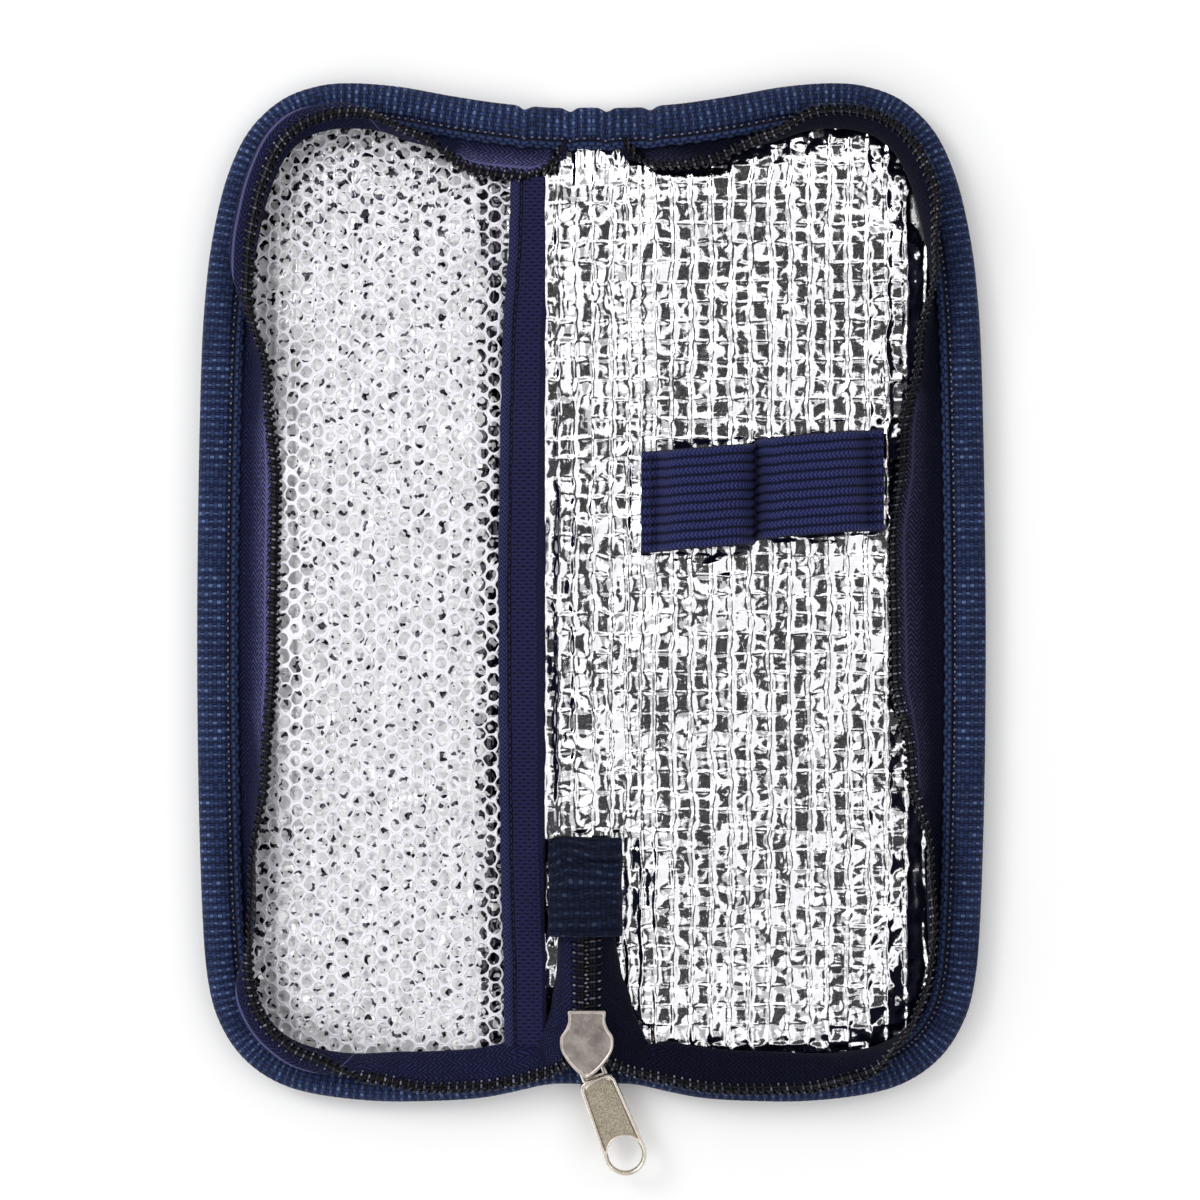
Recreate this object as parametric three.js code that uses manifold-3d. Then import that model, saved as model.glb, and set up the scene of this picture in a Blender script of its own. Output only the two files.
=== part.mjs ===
// A zipped, foil-lined fold-over case for insulin pens, lying fully open.
// Millimetres, +Z up. The origin is the middle of the spine's underside, on the table.
// +Y runs along the spine, away from the slider. +X is the half with the pen loops.
import * as THREE from "three";
import Module from "manifold-3d";

const wasm = await Module();
wasm.setup();

// The case as a whole
const caseLength = 200;
const halfWidth = 68; // one half, from its fold line to its outer edge
const spineWidth = 18;
const foldHeight = 6; // the fold lines run this high, so that the shut case is 30 thick
const layerGap = 0.3; // clearance between layers that touch on the real case
const foldGap = 0.3; // what each panel stops short of its fold line
const overrun = 1; // how far cutting shapes reach past the faces that they cut

// Layers
const coverThickness = 0.6;
const foamThickness = 3;
const spineFoamThickness = 1.7;
const liningThickness = 0.5;
const netThickness = 0.5;
const tapeThickness = 0.5;

// Edge binding, a tape folded round the rim
const bindingWidth = 8.2;
const bindingThickness = 0.8;
const bindingRound = 0.9; // how far its outer corners are rounded
const rimLift = 1.1; // the rim of a half stands this high off the table
const rimSlope = 7.8; // width over which a panel comes down from its rim
const panelInset = 1.1; // the panels' edges lie this far inside the binding
const foamInset = 11.6;

// Zip
const coilWidth = 2.9;
const coilHeight = 1.6;
const tapeInset = 1.6; // the tape's sewn edge lies this far inside the outer edge
const tapeExit = 8.8; // the tape leaves its seam this far from the outer edge
const tapeFree = 9.3; // free width of the tape, up to the middle of the coil
const coilFoldGap = 2.4; // tape and coil stop this far from a fold line
const tailTapeWidth = 2.4; // what shows of a tail tape beside the closed chain
const tabTapeWidth = 0.7; // what is left of it inside the end tab

// Zip tail, on the spine
const chainX = -0.9; // the chain runs a little off the spine's middle line
const tailLength = 29.7; // from the spine's lower end to where the chain comes out of its end tab
const tabLength = 19;
const tabWidth = 14;
const tabX = -1.4;
const tabEdgeHeight = 2.2;
const tabCover = 1.1; // cloth over the chain inside the tab
const tabGrip = 5; // length of chain held in the tab

// Slider
const sliderLength = 13.1;
const sliderTipGap = 2.4; // the slider's tip lies this far inside the spine's lower end
const sliderHalfWidth = 5.2;
const plateThickness = 0.9;
const channelHeight = 2.4;
const postInset = 0.5; // the post ends this far inside the plates' tip
const tapeSlot = 1.2; // height of the slots that the tapes run through
const postWidth = 2.4;
const postLength = 4;
const bridgeWidth = 1.5;
const bridgeThickness = 0.7;
const bridgeLength = 8;

// Puller
const pivotInset = 3.5; // the pivot lies this far inside the slider's tip
const pullerTurn = THREE.MathUtils.degToRad(21.5); // how far it points off the spine's line
const pullerHoleReach = 20.4; // from the pivot to the middle of its hole
const pullerHoleRadius = 3.5;
const pullerEndRadius = 4.25;
const pullerNeckHalf = 3.6;
const pullerRimThickness = 1.5;
const pullerRimWidth = 0.7;
const pullerWeb = 0.9; // thickness of the sunk field
const ringThickness = 0.8;
const ringHalfWidth = 2.6;
const ringBar = 0.9;
const padStart = 4.4; // from the pivot to where the wide part begins
const sliderClearance = 1.3; // between the puller's ring and the plate over it

// Net pocket
const netColumnPitch = 5.95; // two and a half of the real net's columns
const netRowPitch = 8;
const netStrand = 1.3;
const netShoulder = 3.2; // the net's holes begin this far inside its seam
const netMargin = 1.2; // between the holes and the solid strip round them
const netInset = 3; // the net's sewn edge lies this far inside the outer edge
const netRise = 13.5; // width over which the net rises from its seam
const netBelly = 5.6;
const netEndBelly = 3.2;
const netEdgeBow = 0.5; // the net's free edge is drawn in this far at the middle of the mouth
const bandWidth = 8.2;
const bandThickness = 0.8;
const bandBow = 4.7; // how high the pocket's mouth stands open
const bandBowFlat = 25; // half length over which the mouth is fully open
const bandBowEnd = 44; // half length at which the band lies down again
const bandTopGap = 16; // the band's ends stop this far inside the spine's ends
const bandBottomGap = 12.4;

// Pen loops, one strip of elastic
const elasticWidth = 19.8;
const elasticThickness = 1;
const elasticStartGap = 0.7; // it starts this far from the fold line
const elasticEndInset = 20; // and ends this far inside the half's outer edge
const elasticFlat = 3.6; // sewn-down length at each end
const elasticFirstSpan = 22.3; // from its start to where it is sewn down between its loops
const elasticFoldFlat = 2.4;
const elasticMidY = 20.2;
const elasticSkew = 0.077; // it was sewn on a little out of square
const loopRise = 5.9;

// Stitching
const threadWidth = 0.6;
const threadHeight = 0.35;
const stitchInset = 1.6;

// How finely the outline and the curves are cut
const outlineStations = 36;
const spineStations = 4;
const loopSteps = 8;
const tailStations = 14;
const coilSides = 6;
const edgeSteps = 24; // along the pocket's mouth

const foldX = spineWidth / 2;
const halfLength = caseLength / 2;
const elasticStart = foldX + elasticStartGap;
const elasticFold = elasticStart + elasticFirstSpan;
const elasticEnd = foldX + halfWidth - elasticEndInset;

// The outline of a half: shares of the half's width, out from the fold, and of half the length.
const outlineShares = [
  [0, 0.955], [0.12, 0.96], [0.27, 0.975], [0.42, 0.993], [0.56, 1], [0.66, 0.993], [0.76, 0.966],
  [0.85, 0.908], [0.91, 0.825], [0.95, 0.72], [0.975, 0.6], [0.99, 0.42], [1, 0.03], [0.998, -0.33],
  [0.985, -0.63], [0.965, -0.77], [0.925, -0.85], [0.86, -0.91], [0.77, -0.952], [0.66, -0.975],
  [0.5, -0.988], [0.35, -0.989], [0.18, -0.982], [0, -0.959],
];
const spineTopY = outlineShares[0][1] * halfLength;
const spineBottomY = outlineShares.at(-1)[1] * halfLength;
const tabY = spineBottomY + tailLength;
const sliderTipY = spineBottomY + sliderTipGap;
const pivotY = sliderTipY + pivotInset;
const bandTopY = spineTopY - bandTopGap;
const bandBottomY = spineBottomY + bandBottomGap;

// Where the coil lies, going round from the top fold to the bottom fold: a share of the way round,
// and the coil's distance from the outer edge as a share of the binding and the free tape together.
const leftCoilShares = [
  [0, 0.8], [0.03, 0.8], [0.07, 0.53], [0.11, 0.35], [0.17, 0.34], [0.24, 0.31], [0.3, 0.45], [0.36, 0.68],
  [0.43, 0.85], [0.54, 0.88], [0.61, 0.74], [0.68, 0.58], [0.76, 0.48], [0.81, 0.47], [0.85, 0.33],
  [0.89, 0.19], [0.94, 0.15], [1, 0.15],
];
const rightCoilShares = [
  [0, 0.68], [0.03, 0.7], [0.07, 0.54], [0.11, 0.35], [0.17, 0.34], [0.23, 0.32], [0.28, 0.46], [0.34, 0.72],
  [0.4, 0.92], [0.47, 1.03], [0.55, 1.01], [0.61, 0.86], [0.67, 0.62], [0.72, 0.55], [0.78, 0.57],
  [0.82, 0.49], [0.86, 0.28], [0.9, 0.19], [0.95, 0.16], [1, 0.16],
];
// How high the tape stands, as a share of what its free width allows.
const standShares = [[0, 0.18], [0.04, 0.35], [0.1, 0.75], [0.86, 0.75], [0.93, 0.45], [1, 0.37]];

// Small helpers

const rise = (t) => {
  const c = THREE.MathUtils.clamp(t, 0, 1);
  return c * c * (3 - 2 * c);
};

const mix = THREE.MathUtils.lerp;

// Reads a table of [place, value] pairs at a place between them, smoothly.
function readShares(table, place) {
  const next = Math.max(1, table.findIndex(([at]) => at >= place));
  const [a, va] = table[next - 1];
  const [b, vb] = table[next];
  return mix(va, vb, rise((place - a) / (b - a)));
}

// Piles layers up with the layer gap between them, and gives each one's bottom and top.
function pile(start, layers) {
  const levels = {};
  let z = start;
  for (const [name, thickness] of layers) {
    levels[name] = { bottom: z, top: z + thickness };
    z += thickness + layerGap;
  }
  return levels;
}

const halfField = pile(0, [["cover", coverThickness], ["foam", foamThickness], ["lining", liningThickness]]);
const halfRim = pile(rimLift, [
  ["under", bindingThickness], ["cover", coverThickness], ["lining", liningThickness],
  ["net", netThickness], ["tape", tapeThickness], ["over", bindingThickness],
]);
const spineField = pile(0, [
  ["cover", coverThickness], ["foam", spineFoamThickness], ["lining", liningThickness],
]);
const spineRim = pile(0, [
  ["under", bindingThickness], ["cover", coverThickness], ["lining", liningThickness],
  ["over", bindingThickness],
]);

// Makes a closed body of points and triangles, with its faces pointing out.
function closedBody(points, triangles) {
  const a = new THREE.Vector3();
  const b = new THREE.Vector3();
  const c = new THREE.Vector3();
  let volume = 0;
  for (const [i, j, k] of triangles) {
    a.copy(points[i]);
    b.copy(points[j]);
    c.copy(points[k]);
    volume += a.dot(b.cross(c));
  }
  const faces = volume < 0 ? triangles.map(([i, j, k]) => [i, k, j]) : triangles;
  const geometry = new THREE.BufferGeometry();
  const flat = points.flatMap((p) => [p.x, p.y, p.z]);
  geometry.setAttribute("position", new THREE.Float32BufferAttribute(flat, 3));
  geometry.setIndex(faces.flat());
  return geometry;
}

// Triangulates a flat outline with holes, counter-clockwise, with indices into all its points.
function fill(outline, holes = []) {
  const [flatOutline, ...flatHoles] = [outline, ...holes].map((loop) =>
    loop.map(({ x, y }) => new THREE.Vector2(x, y)),
  );
  const all = [flatOutline, ...flatHoles].flat();
  return THREE.ShapeUtils.triangulateShape(flatOutline, flatHoles).map(([i, j, k]) => {
    const area = (all[j].x - all[i].x) * (all[k].y - all[i].y) - (all[k].x - all[i].x) * (all[j].y - all[i].y);
    return area < 0 ? [i, k, j] : [i, j, k];
  });
}

// Turns the edge between two triangles round while that makes it shorter, so that a curved sheet
// follows its points and has no long slivers across its dips.
function shortenEdges(triangles, spots) {
  const turned = triangles.map((triangle) => [...triangle]);
  const away = (i, j) => Math.hypot(spots[i].x - spots[j].x, spots[i].y - spots[j].y);
  const area = (i, j, k) =>
    (spots[j].x - spots[i].x) * (spots[k].y - spots[i].y) - (spots[k].x - spots[i].x) * (spots[j].y - spots[i].y);
  let swaps = 1;
  while (swaps > 0) {
    swaps = 0;
    const owners = new Map();
    turned.forEach((t, n) => t.forEach((i, m) => owners.set(`${i} ${t[(m + 1) % 3]}`, n)));
    const done = new Set();
    turned.forEach((t, n) => {
      for (let m = 0; m < 3 && !done.has(n); m++) {
        const [i, j, a] = [t[m], t[(m + 1) % 3], t[(m + 2) % 3]];
        const other = owners.get(`${j} ${i}`);
        if (other === undefined || done.has(other)) continue;
        const b = turned[other].find((k) => k !== i && k !== j);
        if (away(a, b) < away(i, j) && area(a, i, b) > 0 && area(b, j, a) > 0) {
          turned[n] = [a, i, b];
          turned[other] = [b, j, a];
          done.add(n).add(other);
          swaps += 1;
        }
      }
    });
  }
  return turned;
}

// A sheet with a top and a bottom: rings of points that follow the outline from the outer edge in,
// a core inside the last ring, points along the core's fold edge, and holes in the core.
// Each point has x, y, bottom and top.
function sheet(rings, edge = [], holes = []) {
  const spots = [...rings.flat(), ...edge, ...holes.flat()];
  const count = spots.length;
  const index = new Map(spots.map((spot, i) => [spot, i]));
  const tops = spots.map((s) => new THREE.Vector3(s.x, s.y, s.top));
  const bottoms = spots.map((s) => new THREE.Vector3(s.x, s.y, s.bottom));
  const triangles = [];
  const face = (a, b, c) => {
    const [i, j, k] = [a, b, c].map((s) => index.get(s));
    triangles.push([i, j, k], [i + count, k + count, j + count]);
  };
  for (let k = 1; k < rings.length; k++) {
    const [outer, inner] = [rings[k - 1], rings[k]];
    for (let i = 1; i < outer.length; i++) {
      face(outer[i - 1], inner[i - 1], inner[i]);
      face(outer[i - 1], inner[i], outer[i]);
    }
  }
  const core = [...rings.at(-1), ...edge];
  const coreSpots = [...core, ...holes.flat()];
  for (const [i, j, k] of shortenEdges(fill(core, holes), coreSpots)) {
    face(coreSpots[i], coreSpots[j], coreSpots[k]);
  }
  const ends = rings.slice(1);
  const rim = [...rings[0], ...ends.map((r) => r.at(-1)), ...edge, ...ends.map((r) => r[0]).reverse()];
  for (const loop of [rim, ...holes]) {
    loop.forEach((spot, n) => {
      const [i, j] = [index.get(spot), index.get(loop[(n + 1) % loop.length])];
      triangles.push([i, j, j + count], [i, j + count, i + count]);
    });
  }
  return closedBody([...tops, ...bottoms], triangles);
}

// A body drawn through sections, each a closed ring of points. profile is one section, flat,
// and closes the two ends.
function loft(sections, profile) {
  const size = profile.length;
  const ends = fill(profile);
  const turned = THREE.ShapeUtils.area(profile) < 0;
  const triangles = [];
  for (let s = 1; s < sections.length; s++) {
    for (let k = 0; k < size; k++) {
      const [a, b] = [(s - 1) * size + k, (s - 1) * size + ((k + 1) % size)];
      const [c, d] = [a + size, b + size];
      triangles.push(turned ? [a, b, c] : [b, a, c], turned ? [b, d, c] : [b, c, d]);
    }
  }
  const last = (sections.length - 1) * size;
  for (const [i, j, k] of ends) {
    triangles.push([i, j, k], [last + i, last + k, last + j]);
  }
  return closedBody(sections.flat(), triangles);
}

// The outline of a half

const outlineCurve = (gap) =>
  new THREE.SplineCurve(
    outlineShares.map(([u, v]) => new THREE.Vector2(foldX + mix(gap, halfWidth, u), v * halfLength)),
  );

// Stations round the outline from the top fold to the bottom one, each with its inward normal.
function stationsOf(gap, count = outlineStations) {
  const spots = outlineCurve(gap).getSpacedPoints(count);
  return spots.map((spot, i) => {
    const before = spots[Math.max(0, i - 1)];
    const after = spots[Math.min(count, i + 1)];
    const along = after.clone().sub(before).normalize();
    const atFold = i === 0 || i === count;
    const inward = atFold ? new THREE.Vector2(0, -Math.sign(spot.y)) : new THREE.Vector2(along.y, -along.x);
    return { spot, inward, place: i / count };
  });
}

const inset = (station, distance) => station.spot.clone().addScaledVector(station.inward, distance);

// Share of the way down from the rim's level to the field's, at a distance from the outer edge.
const rimFall = (distance) => rise((distance - bindingWidth) / rimSlope);

const slopeInsets = (first) => [
  first,
  ...(first < bindingWidth ? [bindingWidth] : []),
  ...[1 / 3, 2 / 3, 1].map((share) => bindingWidth + share * rimSlope).filter((d) => d > first + layerGap),
];

// One layer of a half: it follows the rim's level at the edge and the field's inside.
function halfLayer(side, firstInset, levelsAt) {
  const stations = stationsOf(foldGap);
  const rings = slopeInsets(firstInset).map((distance) => {
    const { bottom, top } = levelsAt(distance);
    return stations.map((station) => {
      const spot = inset(station, distance);
      return { x: side * spot.x, y: spot.y, bottom, top };
    });
  });
  return sheet(side > 0 ? rings : rings.map((ring) => ring.reverse()));
}

// Levels of a layer at a distance from the outer edge
const between = (rim, field, distance) => ({
  bottom: mix(rim.bottom, field.bottom, rimFall(distance)),
  top: mix(rim.top, field.top, rimFall(distance)),
});
const coverLevels = (distance) => between(halfRim.cover, halfField.cover, distance);
const liningLevels = (distance) => between(halfRim.lining, halfField.lining, distance);
const foamLevels = (distance) => ({
  bottom: coverLevels(distance).top + layerGap,
  top: liningLevels(distance).bottom - layerGap,
});

// The binding of a half is a channel folded round the rim.
function halfBinding(side) {
  const { under, over } = halfRim;
  const wall = bindingThickness;
  const profile = [
    [bindingWidth, under.bottom], [bindingRound, under.bottom], [0, under.bottom + bindingRound],
    [0, over.top - bindingRound], [bindingRound, over.top], [bindingWidth, over.top],
    [bindingWidth, over.bottom], [wall, over.bottom], [wall, under.top], [bindingWidth, under.top],
  ].map(([d, z]) => new THREE.Vector2(d, z));
  const sections = stationsOf(foldGap).map((station) =>
    profile.map(({ x: distance, y: z }) => {
      const spot = inset(station, distance);
      return new THREE.Vector3(side * spot.x, spot.y, z);
    }),
  );
  return loft(sections, profile);
}

// The zip's tape and coil on a half

const coilReach = bindingWidth + tapeFree;
const seamZ = (halfRim.tape.bottom + halfRim.tape.top) / 2;

// Where the coil's middle lies, seen in the section across the rim.
function coilAt(coilShares, place) {
  const distance = readShares(coilShares, place) * coilReach;
  const lean = distance - bindingWidth;
  const height = Math.sqrt(Math.max(0, tapeFree ** 2 - lean ** 2));
  const lowest = distance > bindingWidth ? halfField.lining.top : halfRim.over.top;
  const floor = lowest + layerGap + coilHeight / 2;
  return new THREE.Vector2(distance, Math.max(floor, seamZ + readShares(standShares, place) * height));
}

// The tape's middle line from its seam to the coil
function tapeLine(coil) {
  const start = new THREE.Vector2(tapeExit, seamZ);
  const bend = new THREE.Vector2(tapeExit + 0.3 * tapeFree, seamZ);
  const aim = new THREE.Vector2(bindingWidth + 0.3 * tapeFree, seamZ + 0.4 * tapeFree);
  const curve = new THREE.CubicBezierCurve(start, bend, coil.clone().lerp(aim, 0.55), coil);
  const stop = 1 - (coilWidth / 2 + layerGap) / curve.getLength();
  const line = [0, 0.3, 0.65, 1].map((share) => curve.getPointAt(share * stop));
  return { line: [new THREE.Vector2(tapeInset, seamZ), ...line], end: curve.getTangentAt(1) };
}

// Gives a line a thickness: one side forward and the other side back.
function thicken(line, thickness) {
  const sides = line.map((spot, i) => {
    const before = line[Math.max(0, i - 1)];
    const after = line[Math.min(line.length - 1, i + 1)];
    const along = after.clone().sub(before).normalize();
    return [spot, new THREE.Vector2(-along.y, along.x).multiplyScalar(thickness / 2)];
  });
  const upper = sides.map(([spot, out]) => spot.clone().add(out));
  const lower = sides.map(([spot, out]) => spot.clone().sub(out));
  return [...upper, ...lower.reverse()];
}

// Sections round a half, each made in the plane across the rim
function roundHalf(side, sectionAt) {
  const stations = stationsOf(coilFoldGap);
  const flat = stations.map((station) => sectionAt(station.place));
  const sections = stations.map((station, i) =>
    flat[i].map(({ x: distance, y: z }) => {
      const spot = inset(station, distance);
      return new THREE.Vector3(side * spot.x, spot.y, z);
    }),
  );
  return loft(sections, flat[0]);
}

const zipTape = (side, coilShares) =>
  roundHalf(side, (place) => thicken(tapeLine(coilAt(coilShares, place)).line, tapeThickness));

// A flattened ring, long way first, turned to a direction
function oval(middle, direction, width, height, sides) {
  const across = new THREE.Vector2(-direction.y, direction.x);
  return Array.from({ length: sides }, (_, n) => {
    const angle = (2 * Math.PI * (n + 0.5)) / sides;
    return middle
      .clone()
      .addScaledVector(direction, (Math.cos(angle) * width) / 2)
      .addScaledVector(across, (Math.sin(angle) * height) / 2);
  });
}

const zipCoil = (side, coilShares) =>
  roundHalf(side, (place) => {
    const coil = coilAt(coilShares, place);
    return oval(coil, tapeLine(coil).end, coilWidth, coilHeight, coilSides);
  });

// The spine

const spineHalf = foldX - foldGap;

// A body with one outline in Y and Z, drawn across the spine
function acrossSpine(outline) {
  const sections = Array.from({ length: spineStations + 1 }, (_, n) => {
    const x = mix(-spineHalf, spineHalf, n / spineStations);
    return outline.map(({ x: y, y: z }) => new THREE.Vector3(x, y, z));
  });
  return loft(sections, outline);
}

function spineLayer(firstInset, levelsAt) {
  const insets = slopeInsets(firstInset);
  const spots = [
    ...insets.map((distance) => [spineBottomY + distance, distance]),
    ...insets.map((distance) => [spineTopY - distance, distance]).reverse(),
  ];
  const tops = spots.map(([y, distance]) => new THREE.Vector2(y, levelsAt(distance).top));
  const bottoms = spots.map(([y, distance]) => new THREE.Vector2(y, levelsAt(distance).bottom));
  return acrossSpine([...bottoms, ...tops.reverse()]);
}

const spineCoverLevels = (distance) => between(spineRim.cover, spineField.cover, distance);
const spineLiningLevels = (distance) => between(spineRim.lining, spineField.lining, distance);
const spineFoamLevels = (distance) => ({
  bottom: spineCoverLevels(distance).top + layerGap,
  top: spineLiningLevels(distance).bottom - layerGap,
});

// The binding over one end of the spine; inward is the way along Y that goes into the case.
function spineBinding(endY, inward) {
  const { under, over } = spineRim;
  const wall = bindingThickness;
  const outline = [
    [bindingWidth, under.bottom], [bindingRound, under.bottom], [0, under.bottom + bindingRound],
    [0, over.top - bindingRound], [bindingRound, over.top], [bindingWidth, over.top],
    [bindingWidth, over.bottom], [wall, over.bottom], [wall, under.top], [bindingWidth, under.top],
  ].map(([distance, z]) => new THREE.Vector2(endY + inward * distance, z));
  return acrossSpine(outline);
}

// Levels of the puller, the slider and the chain, from the spine's binding up
const bridgeBottom = spineRim.over.top + layerGap;
const ringBottom = bridgeBottom + bridgeThickness + layerGap;
const pivotZ = ringBottom + ringThickness / 2;
const plateBottom = ringBottom + ringThickness + sliderClearance;
const channelBottom = plateBottom + plateThickness;
const chainZ = channelBottom + channelHeight / 2;
const sliderTop = channelBottom + channelHeight + plateThickness;

// The zip's tail

const chainHalf = 1.05 * coilWidth; // half the width of the closed chain
const tailEndX = foldX - 0.45 * coilWidth;
const tailEndZ = pivotZ + pullerRimThickness / 2 + layerGap + coilHeight / 2; // over the puller
const mouthY = sliderTipY + postLength;
const rearY = sliderTipY + sliderLength;

// The middle of one tail coil, from inside the tab, round the slider's post and out to the fold
function tailCoilPath(side) {
  const half = chainHalf - coilWidth / 2;
  const post = postWidth / 2 + coilWidth / 2 + layerGap;
  const out = side * (side * tailEndX - chainX);
  // Rows: from the chain's middle, along the spine, and a share of the way down to the end
  const rows = [
    [half, tabY + tabGrip, 0], [half, tabY, 0], [half, mix(tabY, rearY, 0.5), 0], [half, rearY, 0],
    [half, mix(rearY, mouthY, 0.35), 0], [post, mix(rearY, mouthY, 0.8), 0],
    [post + 0.2 * coilWidth, mouthY, 0.05],
    [mix(post, out, 0.6), mix(mouthY, sliderTipY, 0.5), 0.6], [out, mix(mouthY, sliderTipY, 0.8), 1],
  ];
  const spots = rows.map(
    ([x, y, drop]) => new THREE.Vector3(chainX + side * x, y, mix(chainZ, tailEndZ, drop)),
  );
  return new THREE.CatmullRomCurve3(spots, false, "centripetal");
}

// Sections of a flat or oval body along a path, kept upright
function alongPath(path, count, sectionAt) {
  const up = new THREE.Vector3(0, 0, 1);
  const sections = [];
  for (let n = 0; n <= count; n++) {
    const middle = path.getPointAt(n / count);
    const along = path.getTangentAt(n / count);
    const across = new THREE.Vector3().crossVectors(along, up).normalize();
    const over = new THREE.Vector3().crossVectors(across, along);
    const spots = sectionAt(n / count);
    sections.push(
      spots.map(({ x, y }) => middle.clone().addScaledVector(across, x).addScaledVector(over, y)),
    );
  }
  return loft(sections, sectionAt(0));
}

const tailCoil = (side) =>
  alongPath(tailCoilPath(side), tailStations, () =>
    oval(new THREE.Vector2(), new THREE.Vector2(1, 0), coilWidth, coilHeight, coilSides),
  );

// One tail tape: beside the chain, then spreading out towards the fold past the slider.
function tailTape(side) {
  const beside = chainHalf + layerGap;
  const outer = (share) => mix(beside + tailTapeWidth, tailReach(side), share);
  const grip = beside + tabTapeWidth;
  const clear = sliderHalfWidth + layerGap;
  const yAt = (share) => mix(tabY, mouthY, share);
  // Rows: along the tail, the inner and the outer edge from the chain's middle, and the outer
  // edge's share of the way down to the rim.
  const rows = [
    [tabY + tabGrip - layerGap, beside, grip, 0], [tabY - layerGap, beside, grip, 0],
    [yAt(0.1), beside, outer(0), 0], [yAt(0.45), beside, outer(0.5), 0.1],
    [yAt(0.7), beside, outer(1), 0.4], [yAt(0.75), beside, outer(1), 0.5],
    [yAt(0.87), beside + coilWidth / 2, outer(1), 0.9], [yAt(0.95), clear, outer(1), 1],
  ];
  const half = tapeThickness / 2;
  const sections = rows.map(([y, inner, outside, drop]) => {
    const knee = THREE.MathUtils.clamp(clear, mix(inner, outside, 0.3), mix(inner, outside, 0.7));
    const outerZ = mix(chainZ, foldHeight - tapeThickness, drop);
    const edges = [[inner, chainZ], [knee, chainZ], [outside, outerZ]];
    const spotAt = ([x, z], lift) => new THREE.Vector3(chainX + side * x, y, z + lift);
    return [...edges.map((edge) => spotAt(edge, -half)), ...edges.map((edge) => spotAt(edge, half)).reverse()];
  });
  return loft(sections, sections[0].map(({ x, z }) => new THREE.Vector2(x, z)));
}

// How far from the chain's middle a tail tape may reach, so that it stays inside the fold lines
const tailReach = (side) => foldX - foldGap - tapeThickness - side * chainX;

// Solid joins and cuts

function toSolid(geometry) {
  const points = geometry.getAttribute("position");
  const triangles = geometry.index ? geometry.index.array : Array.from({ length: points.count }, (_, i) => i);
  const mesh = new wasm.Mesh({
    numProp: 3,
    vertProperties: new Float32Array(points.array),
    triVerts: new Uint32Array(triangles),
  });
  mesh.merge();
  return new wasm.Manifold(mesh);
}

function fromSolid(solid) {
  const mesh = solid.getMesh();
  const geometry = new THREE.BufferGeometry();
  geometry.setAttribute("position", new THREE.BufferAttribute(mesh.vertProperties, 3));
  geometry.setIndex(new THREE.BufferAttribute(mesh.triVerts, 1));
  return geometry;
}

// A block from its lowest to its highest corner
function block(low, high) {
  const size = high.map((value, i) => value - low[i]);
  const geometry = new THREE.BoxGeometry(...size);
  geometry.translate(...high.map((value, i) => (value + low[i]) / 2));
  return plain(geometry);
}

// Drops what isn't needed to join meshes, so that their corners merge.
function plain(geometry) {
  geometry.deleteAttribute("normal");
  geometry.deleteAttribute("uv");
  return geometry;
}

// A plate with an outline in X and Y
function plate(shape, bottom, thickness, options = {}) {
  const geometry = new THREE.ExtrudeGeometry(shape, { depth: thickness, bevelEnabled: false, ...options });
  geometry.translate(0, 0, bottom);
  return plain(geometry);
}

// The end tab is a pillow of folded binding round the end of the chain.
function endTab() {
  const bottom = spineField.lining.top + layerGap;
  const crown = chainZ + coilHeight / 2 + layerGap + tabCover - bottom - tabEdgeHeight;
  // Rows along the tab, from its outer edge to its folded top: place, crown and width shares
  const rowShares = [[0, 0.96, 1], [0.06, 1, 1], [0.5, 1, 1], [0.8, 0.85, 1], [0.94, 0.45, 0.98], [1, 0.15, 0.95]];
  const sides = 9;
  const sections = rowShares.map(([along, crownShare, widthShare]) => {
    const halfWide = (tabWidth / 2) * widthShare;
    const y = tabY + along * tabLength;
    const dome = Array.from({ length: sides + 1 }, (_, n) => {
      const angle = (Math.PI * n) / sides;
      const reach = Math.sign(Math.cos(angle)) * Math.abs(Math.cos(angle)) ** 0.8;
      const height = tabEdgeHeight + crown * crownShare * Math.sin(angle) ** 0.6;
      return new THREE.Vector3(tabX + halfWide * reach, y, bottom + height);
    });
    return [
      new THREE.Vector3(tabX - halfWide, y, bottom), new THREE.Vector3(tabX + halfWide, y, bottom), ...dome,
    ];
  });
  const pillow = loft(sections, sections[0].map(({ x, z }) => new THREE.Vector2(x, z)));
  const coilHalf = chainHalf + layerGap;
  const coilRise = coilHeight / 2 + layerGap;
  const tapeHalf = coilHalf + tabTapeWidth + layerGap;
  const tapeRise = tapeThickness / 2 + layerGap;
  const depth = tabY + tabGrip + layerGap;
  const chainRoom = block(
    [chainX - coilHalf, tabY - overrun, chainZ - coilRise],
    [chainX + coilHalf, depth, chainZ + coilRise],
  );
  const tapeRoom = block(
    [chainX - tapeHalf, tabY - overrun, chainZ - tapeRise],
    [chainX + tapeHalf, depth, chainZ + tapeRise],
  );
  return fromSolid(toSolid(pillow).subtract(toSolid(chainRoom)).subtract(toSolid(tapeRoom)));
}

// The slider

// Half widths of the slider's plates, from the narrow rear to the tip, as shares
const sliderShares = [
  [0, 0.66], [0.04, 0.71], [0.15, 0.69], [0.27, 0.79], [0.38, 0.97], [0.47, 1], [0.56, 0.98], [0.66, 0.87],
  [0.81, 0.6], [0.92, 0.33], [0.98, 0.12], [1, 0],
];

function sliderPlateShape(margin) {
  const right = sliderShares.map(([along, wide]) => {
    const x = Math.max(0, wide * sliderHalfWidth - margin);
    return new THREE.Vector2(chainX + x, rearY - along * sliderLength);
  });
  const left = right.slice(0, -1).map((spot) => new THREE.Vector2(2 * chainX - spot.x, spot.y));
  return new THREE.Shape([...right, ...left.reverse()]);
}

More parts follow.
